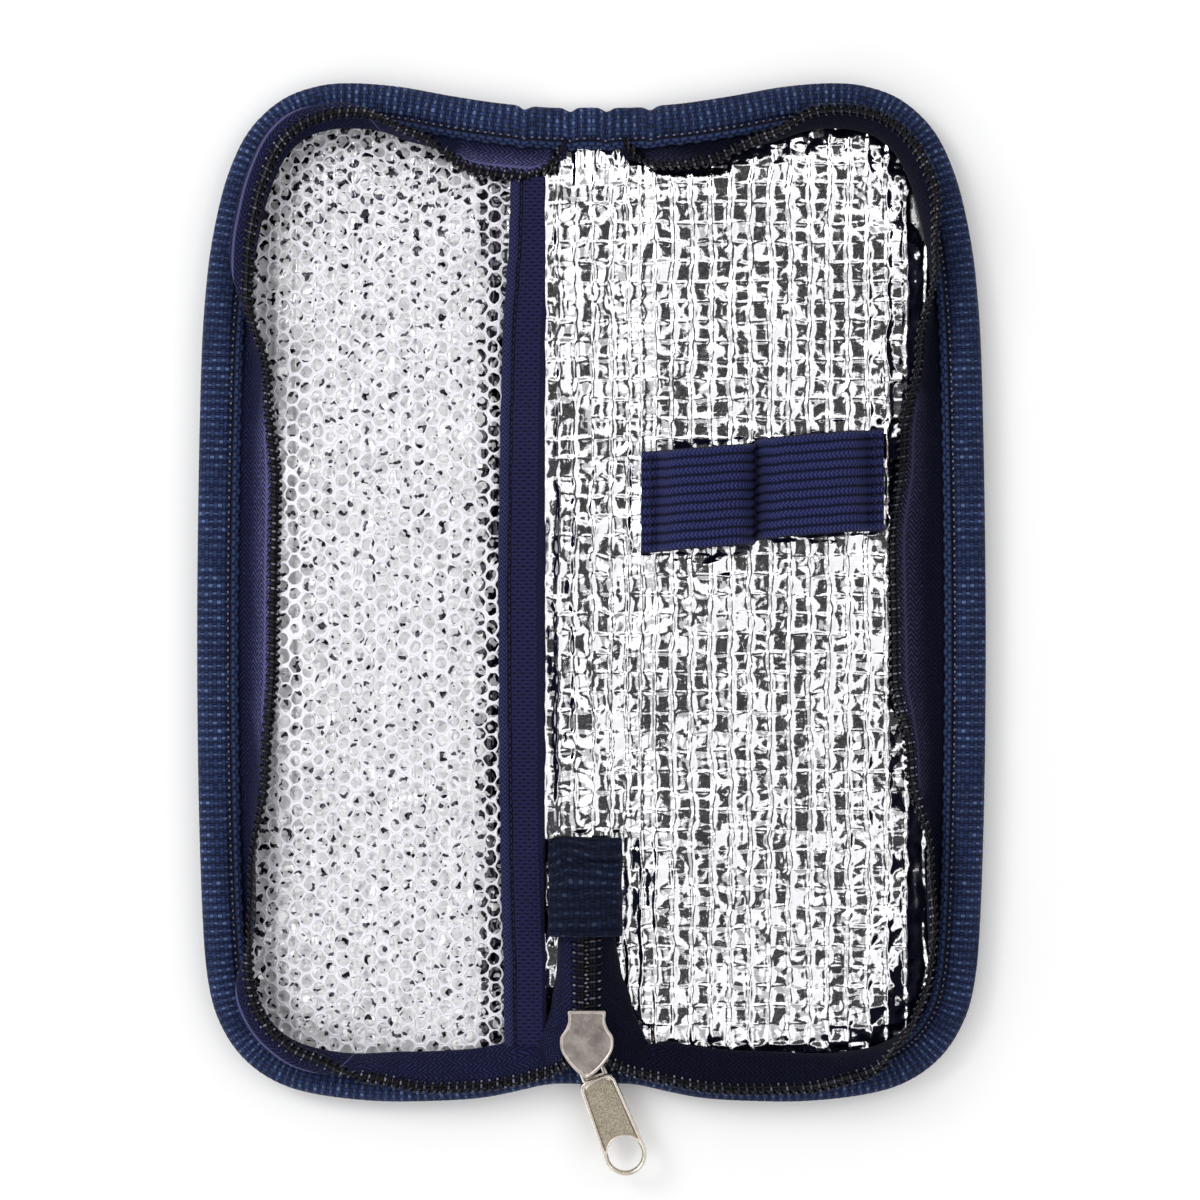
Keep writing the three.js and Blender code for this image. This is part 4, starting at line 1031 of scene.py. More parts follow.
def foil_relief(x, y):
    """How far the foil stands up: scrim strands with uneven flanks, tilted cells, crumples, creases.

    Here x is under zero on the left, and the strands crowd together at both folds.
    """
    crowded = sum(shift * np.tanh((x - fold) / crowd_reach) for fold, shift in crowd_shifts.items())
    gx, gy = x + crowded + waves(foil_waves_x, x, y), y + waves(foil_waves_y, x, y)
    i, j = np.floor(gx / foil_cell).astype(int), np.floor(gy / foil_cell).astype(int)
    u, v = gx / foil_cell - i, gy / foil_cell - j
    luck = {seed: cell_luck(i, j, seed) for seed in range(3, 10)}
    left, right = u * foil_cell, (1 - u) * foil_cell
    low, high = v * foil_cell, (1 - v) * foil_cell
    sides = [(left, v), (right, v), (low, u), (high, u)]
    flanks = [
        flank(away, least, wider * luck[seed] ** power, share)
        for (away, share), (least, wider, power), seed in zip(sides, cell_flanks, range(3, 7))
    ]
    upright = strand_rise * np.maximum(*flanks[:2])
    cross = cross_strand_rise * np.maximum(*flanks[2:])
    strands = np.maximum(upright, cross) + 0.4 * np.minimum(upright, cross)
    signed = np.where(left < right, left, -right)
    lean = strand_lean * np.clip(signed / strand_half, -1, 1) * (1 - smooth(np.abs(signed) - lean_end))
    inner = np.sqrt(np.clip(16 * u * (1 - u) * v * (1 - v), 0, 1))
    puffs = zip((np.abs(x), -y, y), foil_puffs)
    puff = sum(much * smooth((place - start) / reach) for place, (much, start, reach) in puffs)
    puff = np.maximum(np.clip(puff, 0, 1.1), net_puff * smooth((-x - fold_x) / 3))
    chance_u, chance_v = luck[7] - 0.5, luck[8] - 0.5
    tilt_u = chance_u * (0.6 + 0.4 * puff) + 3 * chance_u**3
    tilt_v = chance_v * (0.5 + 0.4 * puff) + 3 * chance_v**3
    unrest = 1 + 0.6 * bell(x, fold_x, 4) - 0.5 * smooth((y - 20) / 20) * smooth((x - 16) / 8)
    tilt = cell_tilt * (tilt_u * (u - 0.5) + tilt_v * (v - 0.5)) * inner * unrest
    dent = (0.12 + 0.3 * puff) * (luck[9] - 0.5) * inner
    crumple = (0.16 + 0.1 * puff) * noise(x, y, 1.9, 16) + waves(foil_waves, x, y)
    fold = fold_rise * (1 - np.abs(noise(x, y, 2.4, 18))) ** 7
    creases = spine_crease * noise(x, y / 9, 1.3, 8) * bell(x, 13, 4)
    return strands + lean + tilt + dent + crumple + fold + creases + foil_crown(x)


def foil_lining(side, material):
    def heights(x, y, distance):
        start, length = roll_start
        rolled = roll_drop * smooth((roll_end - x) / roll_length) * (side < 0)
        rolled = rolled * smooth((x - start) / length)
        ends = noise(x, y / 5, foil_gather_size, 81)
        sides = noise(x / 5, y, foil_gather_size, 82)
        start, length = foil_gather_turn
        end, fade = foil_gather_end
        gathered = mix(ends, sides, smooth((x - start) / length))
        gathered = foil_gather * smooth((end - distance) / fade) * gathered
        height = lining_top(x, distance) - lining_sink + foil_relief(side * x, y) - rolled + gathered
        return np.maximum(height, cover_inside(x, distance) + foil_gap)

    half = half_names[side]
    piece = panel(f"{half}_foil", side, foil_spacing[side], foil_edge, heights, material)
    ride(piece, side, "foil", f"{half}_foil_lining", "spine_foil_lining")


# The edge binding

def weave_height(along, across):
    """Relief of a plain weave, from 0 to 1."""
    row, column = along / weave_row, across / weave_column
    parity = (np.floor(row) + np.floor(column)) % 2
    u, v = row - np.floor(row) - 0.5, column - np.floor(column) - 0.5
    rib = np.cos(np.pi * v) ** 0.6 * (0.55 + 0.45 * np.cos(2 * np.pi * u) * (1 - 2 * parity))
    return np.maximum(rib, parity * bell(u, 0.2) * np.cos(np.pi * v))


def gathers(side, x, y):
    """How far the binding is drawn in where its end over the spine is gathered."""
    return gather_depth * sum(bell(x - middle, gather_reach) for middle in gather_x[side]) * (y > 0)


def edge_binding(side, material):
    rim = Rim(round(rim_length / binding_grain))
    size = (binding_width, rim_top[1] - rim_bottom[1])
    count = round(section_length / binding_grain)
    profile, across = even_curve(np.array(binding_outer_shares) * size, count)
    facing = ways(profile)
    inner = np.array(binding_inner_shares) * size
    distance, height = np.vstack([profile, inner]).T
    height = height / size[1]
    out_across = np.append(facing[:, 1], np.zeros(len(inner)))
    out_up = np.append(-facing[:, 0], np.zeros(len(inner)))
    across = np.append(across[-1] - across, np.zeros(len(inner)))
    woven = smooth((across - braid_width + weave_ease) / (2 * weave_ease))
    relief = weave_relief * woven * weave_height(rim.along[:, None], across)
    x, y = rim.spot[:, 0], rim.spot[:, 1]
    drawn = gathers(side, x, y)[:, None]
    wave = np.sin(np.pi * rim.along / stitch_pitch)[:, None]
    wave = wave * smooth((distance - rim_wave_start) / rim_wave_ease)
    puff = rim_puff * noise(rim.along[:, None], distance, rim_puff_size, 11) * (height > 0.8)
    d = distance + out_across * relief + drawn * (1 - distance / gather_fade) + rim_wave * wave
    low, high = level(rim_bottom, x)[:, None], level(rim_top, x)[:, None]
    z = mix(low, high, height) + out_up * relief + puff + gather_rise * drawn * (height > 0.5)
    points = np.concatenate([rim.inset(d), z[..., None]], -1)
    points[0, :, 0] = points[-1, :, 0] = 0
    faces = grid_faces(*d.shape, closed=True)[:, ::-1]
    half = half_names[side]
    uv = stacked(rim.along[:, None], across)
    piece = make_piece(f"{half}_binding_cloth", points, [faces], material, uv, side)
    ride(piece, side, "binding", f"{half}_edge_binding", "spine_binding_top", "spine_binding_bottom")


# Stitches

def stitch_run(name, spots, fill, width, thickness, material, side=1, kept=slice(None)):
    """A piece of small rounded stitches at the kept spots of a line; each fills a share of its step."""
    rings, sides = 6, 6
    place = np.linspace(-0.5, 0.5, rings)
    swell = np.sqrt(np.maximum(0, 1 - np.abs(2 * place) ** 4)) + 0.12
    angle = 2 * np.pi * np.arange(sides) / sides
    way = (np.gradient(spots, axis=0) * fill)[kept]
    spots = spots[kept]
    forward = unit(way)
    across = unit(np.cross(forward, (0.0, 0.0, 1.0)))
    over = np.cross(across, forward)
    lift = thickness * 0.25 * (np.cos(2 * np.pi * place) + 1)
    middle = spots[:, None] + way[:, None] * place[:, None] + over[:, None] * lift[:, None]
    ring = across[:, None, None] * (np.cos(angle) * width / 2)[:, None]
    ring = ring + over[:, None, None] * (np.sin(angle) * thickness / 2)[:, None]
    points = middle[:, :, None] + ring * swell[:, None, None]
    shifts = (np.arange(len(spots)) * rings * sides)[:, None, None]
    quads = (grid_faces(rings, sides, closed=True) + shifts).reshape(-1, 4)
    first = np.arange(sides) + shifts[:, 0]
    ends = np.vstack([first, first[:, ::-1] + (rings - 1) * sides])
    return make_piece(name, points, [quads, ends], material, side=side)


def binding_stitches(side, material):
    """The seam that holds the binding, sunk in its groove."""
    rim = Rim(round(rim_length / stitch_pitch))
    share, height = groove_share
    x, y = rim.spot.T
    distance = share * binding_width + 0.6 * gathers(side, x, y)
    z = mix(level(rim_bottom, x), level(rim_top, x), height) + seam_rise
    spots = np.column_stack([rim.inset(distance[:, None])[:, 0], z])
    name = f"{half_names[side]}_binding_seam"
    piece = stitch_run(name, spots, 0.42, seam_width, seam_width, material, side, slice(1, -1))
    ride(piece, side, "thread")


# The zip's tapes and coils

def coil_line(rim, side):
    """The coil's middle in the section across the rim: its distance from the edge and its height."""
    distance = read_shares(coil_shares[side], rim.place) * coil_reach
    lean = distance - binding_width
    stand = np.sqrt(np.maximum(0, tape_free**2 - lean**2)) * read_shares(stand_shares, rim.place)
    x = rim.spot[:, 0]
    ground = np.where(lean > 0, level(lining_field, x), level(rim_top, x))
    height = np.maximum(ground + coil_lift + coil_height / 2, level(seam_level, x) + stand)
    height = mix(level(seam_level, x), height, smooth((rim.place + rise_from) / 0.02))
    return np.column_stack([distance, height])


def half_zip(side):
    """Rows of the tape's points and of the coil's middle round a half, from the top to the fold."""
    rim = Rim(460)
    x, y = rim.spot.T
    coil = coil_line(rim, side)
    seam = level(seam_level, x)
    start, foot, tuck = [stacked(place, seam) for place in (tape_exit, binding_width, tape_tuck)]
    upright = read_shares(upright_shares, rim.place)[:, None]
    curl = read_shares(curl_shares[side], rim.place)
    bend = start + tape_free * mix(np.array([0.3, 0]), np.array([0.02, 0.35]), upright)
    aim = foot + tape_free * mix(np.array([0.3, 0.4]), np.array([0, 0.5]), upright)
    reach = mix(coil, aim, 0.55)
    reach[:, 0] -= curl_reach * curl
    share = np.linspace(0, 1, tape_columns)[None, :, None]
    line = bezier(start[:, None], bend[:, None], reach[:, None], coil[:, None], share)
    facing = unit(line[:, -1] - line[:, -2])
    line[:, -1] -= facing * coil_width * tape_end_share
    line = np.concatenate([tuck[:, None], line], axis=1)
    ripple = tape_ripple * noise(rim.along, 0, 6.0, 21 + side)
    line[..., 1] += ripple[:, None] * np.sin(np.pi * np.linspace(0, 1, tape_columns + 1)) ** 2
    tape = np.concatenate([rim.inset(line[..., 0]), line[..., 1:]], -1)
    middle = np.concatenate([rim.inset(coil[:, :1])[:, 0], coil[:, 1:]], -1)
    way = np.concatenate([rim.inward * facing[:, :1], facing[:, 1:]], -1)
    kept = (rim.place >= coil_start_share[side]) & ((y > 0) | (x > coil_start_x + 1))
    return tape[kept], middle[kept], way[kept], curl[kept]


def tail_path(side):
    """The middle of a coil from near the fold, round the slider's post and up into the tab."""
    chain = side * chain_x
    beside = chain + post_room
    meshed = chain + tail_coil_middle
    return [
        (tail_end_x + 2.6, slider_tip_y + 0.45, tail_end_z + 0.35),
        (tail_end_x, slider_tip_y + 0.9, tail_end_z),
        (mix(beside, tail_end_x, 0.6), mix(mouth_y, slider_tip_y, 0.55), 7.9),
        (beside + 0.3, mouth_y - 0.2, chain_z - 0.15),
        (beside - 0.5, mouth_y + 1.8, chain_z),
        (meshed + 0.1, mix(rear_y, mouth_y, 0.35), chain_z),
        *[(meshed, y, chain_z) for y in (rear_y, mix(tab_y, rear_y, 0.5), tab_y, tab_y + tab_grip)],
    ]


def zip_rows(side):
    """The tape's rows and the coil's middle and way, over the half and on up the tail."""
    tape, middle, way, curl = half_zip(side)
    tail, _ = even_curve([middle[-8], middle[-1], *tail_path(side)], 90)
    first = np.argmin(np.linalg.norm(tail - middle[-1], axis=1)) + 1
    tail = tail[first:]
    ease = smooth(np.arange(len(tail)) / 14)[:, None]
    tail_way = unit(mix(way[-1], unit(np.cross((0.0, 0.0, 1.0), ways(tail))), ease))
    rows = [tail_tape_row(side, *place, tape[-1]) for place in zip(tail, tail_way)]
    return np.vstack([tape, rows]), np.vstack([middle, tail]), np.vstack([way, tail_way]), curl


def tail_tape_row(side, spot, facing, before):
    """One row of the tape beside the tail, from its sewn edge up to the coil."""
    seam_end_y, last_y = before[1, 1], before[-1, 1]
    gap = (seam_end_y - last_y) * math.exp(-(spot[1] - last_y) / 7)
    edge_y = max(spot[1] + gap, seam_end_y)
    edge_x = side * chain_x + read_shares(tail_edge_sizes[side], np.array([edge_y]))[0]
    start = np.array([edge_x, edge_y, level(lining_field, edge_x) + tail_seam_rise])
    end = spot - facing * coil_width * tape_end_share
    share = np.linspace(0, 1, tape_columns)[:, None]
    row = bezier(start, start + (0, 0, tail_stand), end - facing * coil_width * 0.9, end, share)
    tuck = start + unit(start - end) * tail_tuck
    tuck[2] = start[2] - tail_tuck
    return np.vstack([tuck[None], row])


def zip_tape(side, rows, curl, material):
    """The tape; its cloth is shifted so that painted shade falls where it stands up, near the bottom and
    where it curls, and painted light where it lies, with a painted highlight line at the curl.
    """
    tape = smoothed(rows)
    along = lengths_along(tape[:, -1])
    steps = np.linalg.norm(np.diff(tape, axis=1), axis=2)
    across = np.cumsum(np.pad(steps, ((0, 0), (1, 0))), axis=1)
    across = across - across[:, -1:]
    lying = np.linalg.norm(tape[:, -1, :2] - tape[:, 1, :2], axis=1) / -across[:, 1]
    lit = smooth((lying - 0.45) / 0.25) * (1 - smooth((-58 - tape[:, -1, 1]) / 6))
    curled = smooth(np.interp(along, along[: len(curl)], curl) / 0.5)
    # Painted shade: where the tape stands up, near the bottom and where it curls, its cloth is shifted onto
    # the dark side of the painted gradient.
    shift = mix(painted_shade_rows * (1 - lit), curled_rows, curled)
    uv = stacked(along[:, None], across - tape_herringbone * shift[:, None])
    faces = grid_faces(*across.shape)[:, ::-1]
    half = half_names[side]
    piece = make_piece(f"{half}_zip_tape", tape, [faces], material, uv, side)
    thicken(piece, tape_thickness, 0)
    ride(piece, side, "zip_tape", f"{half}_zipper_tape", f"tail_tape_{half}")


def helix(middle, way, width, phase):
    """A squashed helix of wire along a path, with the width of its turns along way.

    The turns are counted from the path's last point, so that two coils can mesh there.
    """
    lengths = lengths_along(middle)
    steps_a_turn, sides = 14, 6
    turns = math.floor(lengths[-1] / coil_pitch)
    place = lengths[-1] - np.linspace(turns * coil_pitch, 0, turns * steps_a_turn + 1)
    path = read_points(place, lengths, middle)
    across = unit(read_points(place, lengths, way))
    forward = ways(path)
    over = unit(np.cross(forward, across))
    angle = 2 * np.pi * (place - lengths[-1]) / coil_pitch + phase
    squashed = np.sign(np.cos(angle)) * np.abs(np.cos(angle)) ** 0.7
    wide = (np.interp(place, lengths, width) / 2 - coil_wire) * squashed
    high = (coil_height / 2 - coil_wire) * np.sin(angle)
    line = path + across * wide[:, None] + over * high[:, None]
    tangent = ways(line)
    first = unit(np.cross(tangent, forward))
    second = np.cross(tangent, first)
    points, faces = tube(line, first, second, 2 * coil_wire, 2 * coil_wire, sides)
    turn = 2 * np.pi * np.arange(sides) / sides
    return points, faces, stacked((angle / (2 * np.pi))[:, None], np.cos(turn)).reshape(-1, 2)


def zip_coil(side, middle, way, material):
    middle, way = smoothed(middle), unit(smoothed(way))
    phase = 0 if side > 0 else math.pi
    closed = smooth((middle[:, 1] - mouth_y) / 6) * (middle[:, 0] < fold_x) * (middle[:, 1] < 0)
    points, faces, uv = helix(middle, way, mix(coil_width, closed_width, closed), phase)
    over = unit(np.cross(ways(middle), way))
    core, core_faces = tube(middle, way, over, 0.5 * coil_width, 0.45 * coil_height, 8)
    uv = np.vstack([uv, np.tile((0.75, -1.0), (len(core), 1))])
    half = half_names[side]
    faces = [faces, core_faces + len(points)]
    piece = make_piece(f"{half}_zip_coil", np.vstack([points, core]), faces, material, uv, side)
    ride(piece, side, "zip_coil", f"{half}_zipper_coil", f"tail_coil_{half}")


# The net pocket

def mouth_open(y):
    """How open the pocket's mouth is along its length, from 0 to 1."""
    return 1 - smooth((np.abs(y) - mouth_flat) / (mouth_end - mouth_flat))


def net_height(x, y, distance):
    start, length = net_slope
    from_band = smooth((x - band_near - start) / length)
    inside = np.maximum(distance - net_inside, 0)
    belly = mix(*net_belly, mouth_open(y)) * smooth(inside / net_rise)
    end, length = net_tuck
    ground = np.maximum(net_ground, lining_top(x, distance) + net_over) - smooth((end - x) / length)
    sag = waves(net_waves, x, y) * smooth(inside / 6)
    return ground + mix(mouth_bow * mouth_open(y), belly, from_band) + sag


def net_cell():
    """Rings of a cell: its six-sided border, a dip, the crest round the hole, and the hole's edge.

    Each has its heights and how loosely it follows the size and shift of its own hole.
    """
    border = np.array(net_border)
    hole = unit(border) * net_hole
    crest = mix(hole, border, 0.42)
    return [(border, -0.05, 0), (mix(border, crest, 0.5), 0.04, 0.5), (crest, 0.12, 1), (hole, 0.0, 1)]


def mesh_pocket(material):
    i, j = np.meshgrid(np.arange(*net_columns), np.arange(*net_rows), indexing="ij")
    x = net_edge_x + net_column * i
    y = net_row * (j + (i % 2) / 2)
    kept = (x > band_near + 3.5) & (x < fold_x + half_width) & (edge_distance(x, y) > net_seam)
    x, y = x[kept], y[kept]
    luck = np.random.default_rng(41)
    uneven_size, uneven_place, uneven_edge = net_luck
    size = 1 + uneven_size * luck.standard_normal(len(x))
    shift = uneven_place * luck.standard_normal((2, len(x)))
    rings = []
    for shape, lift, loose in net_cell():
        scale = mix(1, size, loose)[:, None]
        px = x[:, None] + shape[:, 0] * scale + loose * shift[0][:, None]
        py = y[:, None] + shape[:, 1] * scale + loose * shift[1][:, None]
        rings.append(stacked(px, py, lift))
    points = np.stack(rings, 1)
    corners = len(shape)
    points[:, 2:, :, :2] += uneven_edge * luck.standard_normal((len(x), 1, corners, 2))
    px, py = points[..., 0], points[..., 1]
    bunched = net_bunch * bell(np.maximum(0, 90 - py), 9)
    bent_x, bent_y = px + waves(net_waves_x, px, py), py + waves(net_waves_y, px, py) - bunched
    lift = points[..., 2] + net_height(bent_x, bent_y, edge_distance(bent_x, bent_y))
    firsts = (np.arange(len(x)) * len(rings) * corners)[:, None, None]
    faces = (grid_faces(len(rings), corners, closed=True) + firsts).reshape(-1, 4)
    bent = stacked(bent_x, bent_y, lift)
    piece = make_piece("net_cloth", bent, [faces], material, stacked(px, py), -1)
    thicken(piece, net_thickness, 0)
    ride(piece, "left_half", "net", "mesh_pocket")


def band_level(y):
    return lining_field[1] + band_over + mouth_bow * mouth_open(y)


def pocket_band(material):
    """The elastic on the pocket's mouth: a smooth rolled edge over the net, a seam and a ribbed part."""
    y = np.linspace(band_bottom_y, band_top_y, band_rows)[:, None]
    share = np.linspace(0, 1, band_columns)
    near = band_near + waves(band_near_waves, y, 0)
    far = read_shares(band_far_sizes, y) + waves(band_far_waves, y, 0)
    in_from_far = share * (far - near)
    pulled = band_groove * (0.75 + 0.25 * np.cos(2 * np.pi * y / band_stitch))
    groove = pulled * bell(in_from_far - band_seam, band_groove_reach)
    ribs = band_rib * np.cos(2 * np.pi * in_from_far / band_rib_pitch) * (in_from_far > band_seam + 0.5)
    roll = band_roll * np.sin(np.pi * np.clip(in_from_far / band_seam, 0, 1))
    edge = band_edge * (smooth(1 - in_from_far / 0.5) + smooth((share - 0.94) / 0.06))
    z = band_level(y) + band_thickness + waves(band_waves, y, 0) - groove + ribs + roll - edge
    points = stacked(mix(far, near, share), y, z)
    faces = [grid_faces(band_rows, band_columns)]
    piece = make_piece("pocket_band", points, faces, material, stacked(y, in_from_far), -1)
    thicken(piece, band_thickness)
    ride(piece, "left_half", "elastic", "pocket_elastic_band")


def band_stitches(material):
    y = np.arange(band_bottom_y + 1.2, band_top_y - 1, band_stitch)
    x = band_seam - read_shares(band_far_sizes, y)
    spots = np.column_stack([x, y, band_level(y) + band_thickness - 0.2])
    piece = stitch_run("band_seam", spots, 0.75, seam_width, 0.3, material)
    ride(piece, "left_half", "thread", "pocket_band_stitching")


# The pen loops

def elastic_line():
    """The strip's middle line across the case: flat ends, two loops and the fold between them."""
    fold_half = elastic_fold_flat / 2
    spans = [
        (elastic_start + elastic_flat, elastic_fold - fold_half),
        (elastic_fold + fold_half, elastic_end - elastic_flat),
    ]
    spots = [(elastic_start, 0), (elastic_start + elastic_flat / 2, 0)]
    for start, end in spans:
        for share in np.linspace(0, 1, 19):
            rise = loop_rise * (1 - abs(2 * share - 1) ** loop_squareness)
            spots.append((mix(start, end, share), rise))
    spots += [(elastic_end - elastic_flat / 2, 0), (elastic_end, 0)]
    return np.array(spots) + (0, elastic_base)


def on_elastic(x, offset):
    step = loop_step * (smooth((x - elastic_fold + 0.4) / 0.8) - 0.5)
    return elastic_mid_y + offset + elastic_skew * (x - elastic_mid_x) + step


def pen_loops(material):
    line, along = even_curve(elastic_line(), 200)
    along = along[:, None]
    across = np.linspace(-elastic_width / 2, elastic_width / 2, rib_count * 8 + 1)
    way = ways(line)
    rib = rib_rise * np.cos(2 * np.pi * across / (elastic_width / rib_count)) + 0.05
    selvedge = selvedge_drop * smooth((np.abs(across) - elastic_width / 2 + 0.5) / 0.5)
    lift = elastic_thickness / 2 + rib - selvedge + elastic_wave * noise(along, across, 5.0, 61)
    x = line[:, :1] - way[:, 1:] * lift
    z = line[:, 1:] + way[:, :1] * lift
    waisted = 1 - 0.012 * smooth((line[:, 1:] - elastic_base) / loop_rise)
    y = on_elastic(x, across * waisted) + 0.1 * noise(along, 0, 2.5, 62)
    uv = stacked(along, across)
    piece = make_piece("pen_loops", stacked(x, y, z), [grid_faces(*x.shape)], material, uv)
    thicken(piece, elastic_thickness)
    ride(piece, "right_half", "elastic", "pen_loop_elastic")


def loop_stitches(material):
    """Three rows of stitches that hold the strip down."""
    offset = np.arange(-elastic_width / 2 + 1, elastic_width / 2 - 0.6, loop_stitch)
    inner, outer = elastic_start + elastic_flat / 2, elastic_end - elastic_flat / 2
    for place, x in {"inner": inner, "middle": elastic_fold, "outer": outer}.items():
        top = elastic_base + elastic_thickness / 2 + 0.12
        spots = stacked(x, on_elastic(x, offset), top)
        piece = stitch_run(f"loop_seam_{place}", spots, 0.8, 0.4, 0.34, material)
        ride(piece, "right_half", "thread", f"pen_loop_stitch_{place}")


# The end tab

def end_tab(material):
    """A folded piece of binding over the end of the chain, with a folded hem at its top."""
    sides, rows = 96, 84
    height = tab_top - tab_bottom
    share = np.linspace(0, 1, rows)[:, None]
    crown = read_shares(tab_crown, share)
    width = read_shares(tab_taper, share)
    angle = np.linspace(0, 2 * np.pi, sides, endpoint=False)
    cos, up, down = np.cos(angle), np.clip(np.sin(angle), 0, 1), np.clip(-np.sin(angle), 0, 1)
    edge = 0.26 * height
    x = tab_x + np.sign(cos) * np.abs(cos) ** 0.45 * width * tab_width / 2
    z = tab_bottom + edge + up**0.55 * (height * crown - edge) - down**0.5 * edge * 0.98
    along = share * tab_length
    across = tab_width + lengths_along(np.column_stack([x[0], z[0]]))
    from_end = along - tab_length
    (hem_width, hem_rise), (fold_y, fold_depth) = tab_hem, tab_fold
    hem = hem_rise * smooth((from_end + hem_width) / 0.3) - 0.5 * bell(from_end + hem_width + 0.2, 0.3)
    fold = fold_depth * bell(along - fold_y, 0.3)
    relief = weave_relief * weave_height(along, across)
    z = z + up**0.5 * (relief + hem - fold + waves(tab_waves, along, x))
    pull = tab_pull * bell(x - tab_x - 1, 2.6) * smooth((from_end + 6) / 5)
    x = x + np.sign(cos) * waves(tab_side_waves, along, 0)
    y = tab_y + along + (waves(tab_top_waves, x, 0) - pull) * (share > tab_top_share)
    cap = np.arange(sides)[None]
    faces = [grid_faces(rows, sides, closed=True), cap, cap[:, ::-1] + (rows - 1) * sides]
    warps = [waves(rows, along, across) for rows in tab_warps]
    uv = stacked(along + warps[0], across + warps[1]) * tab_weave
    piece = make_piece("end_tab_cloth", stacked(x, y, z), faces, material, uv)
    ride(piece, "spine", "binding", "zipper_end_tab")


# The slider and its puller

def filled(outline, hole, half_thickness):
    """The mesh of a flat plate with a hole at the puller's level, made from a filled curve."""
    curve = bpy.data.curves.new("plate", "CURVE")
    curve.dimensions = "2D"
    curve.fill_mode = "BOTH"
    curve.extrude = half_thickness * MM
    for loop in (outline, hole):
        spline = curve.splines.new("POLY")
        spline.points.add(len(loop) - 1)
        for spot, (x, y) in zip(spline.points, loop):
            spot.co = (x * MM, y * MM, 0, 1)
        spline.use_cyclic_u = True
    holder = bpy.data.objects.new("plate", curve)
    bpy.context.scene.collection.objects.link(holder)
    depsgraph = bpy.context.evaluated_depsgraph_get()
    mesh = bpy.data.meshes.new_from_object(holder.evaluated_get(depsgraph))
    bpy.data.objects.remove(holder)
    for vertex in mesh.vertices:
        vertex.co.z += pivot_z * MM
    return mesh


def lofted(outlines, heights, capped=True):
    """A solid's mesh that steps through outlines at heights, flat at both ends if it is capped."""
    count = len(outlines[0])
    points = [(x * MM, y * MM, z * MM) for outline, z in zip(outlines, heights) for x, y in outline]
    faces = grid_faces(len(outlines), count, closed=True).tolist()
    if capped:
        faces += [list(range(count)), list(range(len(points) - count, len(points)))]
    mesh = bpy.data.meshes.new("plate")
    mesh.from_pydata(points, [], faces)
    return mesh


def slab(outline_at, bottom, top, edge):
    """A plate with rounded edges; outline_at gives its outline at a margin."""
    rows = [(inset * edge, bottom + rise * edge) for inset, rise in round_edge]
    rows += [(inset * edge, top - rise * edge) for inset, rise in reversed(round_edge)]
    return lofted([outline_at(margin) for margin, _ in rows], [z for _, z in rows])


def metal_piece(name, meshes, material):
    """Joins plate meshes into one piece."""
    joined = bmesh.new()
    for mesh in meshes:
        joined.from_mesh(mesh)
    bmesh.ops.remove_doubles(joined, verts=joined.verts, dist=0.00001)
    bmesh.ops.recalc_face_normals(joined, faces=joined.faces)
    whole = bpy.data.meshes.new(name)
    joined.to_mesh(whole)
    joined.free()
    return add_piece(name, whole, material)


def slider_outline(margin):
    size = (slider_length, slider_half_width)
    along, wide = even_curve(np.array(slider_shares) * size, 60)[0].T
    wide = np.maximum(0, wide - margin)
    middle = slider_length / 2
    y = rear_y - middle - (along - middle) * (1 - margin / middle)
    right = np.column_stack([chain_x + wide, y])
    left = np.column_stack([chain_x - wide, y])[1:-1][::-1]
    return np.vstack([right, left])


def block_outline(x_from, x_to, y_from, y_to):
    def outline_at(margin):
        x_low, x_high = min(x_from, x_to) + margin, max(x_from, x_to) - margin
        y_low, y_high = y_from + margin, y_to - margin
        return np.array([(x_low, y_low), (x_high, y_low), (x_high, y_high), (x_low, y_high)])

    return outline_at


def slider(material):
    """Two plates with side walls, joined by a post, and a bridge under them that holds the puller."""
    outlines = [slider_outline(margin) for margin, _ in slider_top_rows]
    post = [(chain_x + x, slider_tip_y + y) for x, y in slider_post]
    meshes = [
        slab(slider_outline, plate_bottom, plate_top, plate_edge),
        lofted(outlines, [channel_top + rise for _, rise in slider_top_rows]),
        lofted([post, post], [plate_top - metal_overlap, channel_top + metal_overlap]),
    ]
    for side in (1, -1):
        near, far = chain_x + side * wall_inside, chain_x + side * wall_outside
        wall = block_outline(near, far, *[rear_y - before for before in wall_y])
        meshes += [slab(wall, bottom, top, wall_edge) for bottom, top in wall_rows]
    front = slider_tip_y + bridge_share * slider_length
    bridge = [
        (front, bridge_length, *bridge_levels, bridge_edge),
        (front, bridge_leg, *leg_levels, leg_edge),
        (front + bridge_length - bridge_leg, bridge_leg, *leg_levels, leg_edge),
    ]
    for y, length, bottom, top, edge in bridge:
        block = block_outline(chain_x - bridge_half, chain_x + bridge_half, y, y + length)
        meshes.append(slab(block, bottom, top, edge))
    ride(metal_piece("slider_plates", meshes, material), "slider", "slider_metal", "slider_body")


def puller_outline(margin):
    """The puller's outline with its pivot at the origin and its length along -Y."""
    end, neck = puller_end - margin, puller_neck - margin
    start = -pad_start - margin
    corner = 0.35 * puller_neck
    angle = np.linspace(0, -np.pi, 40)
    arc = np.column_stack([end * np.cos(angle), -hole_reach + end * np.sin(angle)])
    head = [(-neck, start - corner), (-neck + corner * 0.3, start - corner * 0.3), (-neck + corner, start)]
    tail = [(-x, y) for x, y in reversed(head)]
    return np.vstack([head, tail, arc])


def circle(radius):
    """A circle round the puller's hole."""
    angle = np.linspace(0, 2 * np.pi, 56, endpoint=False)
    return np.column_stack([radius * np.cos(angle), -hole_reach + radius * np.sin(angle)])


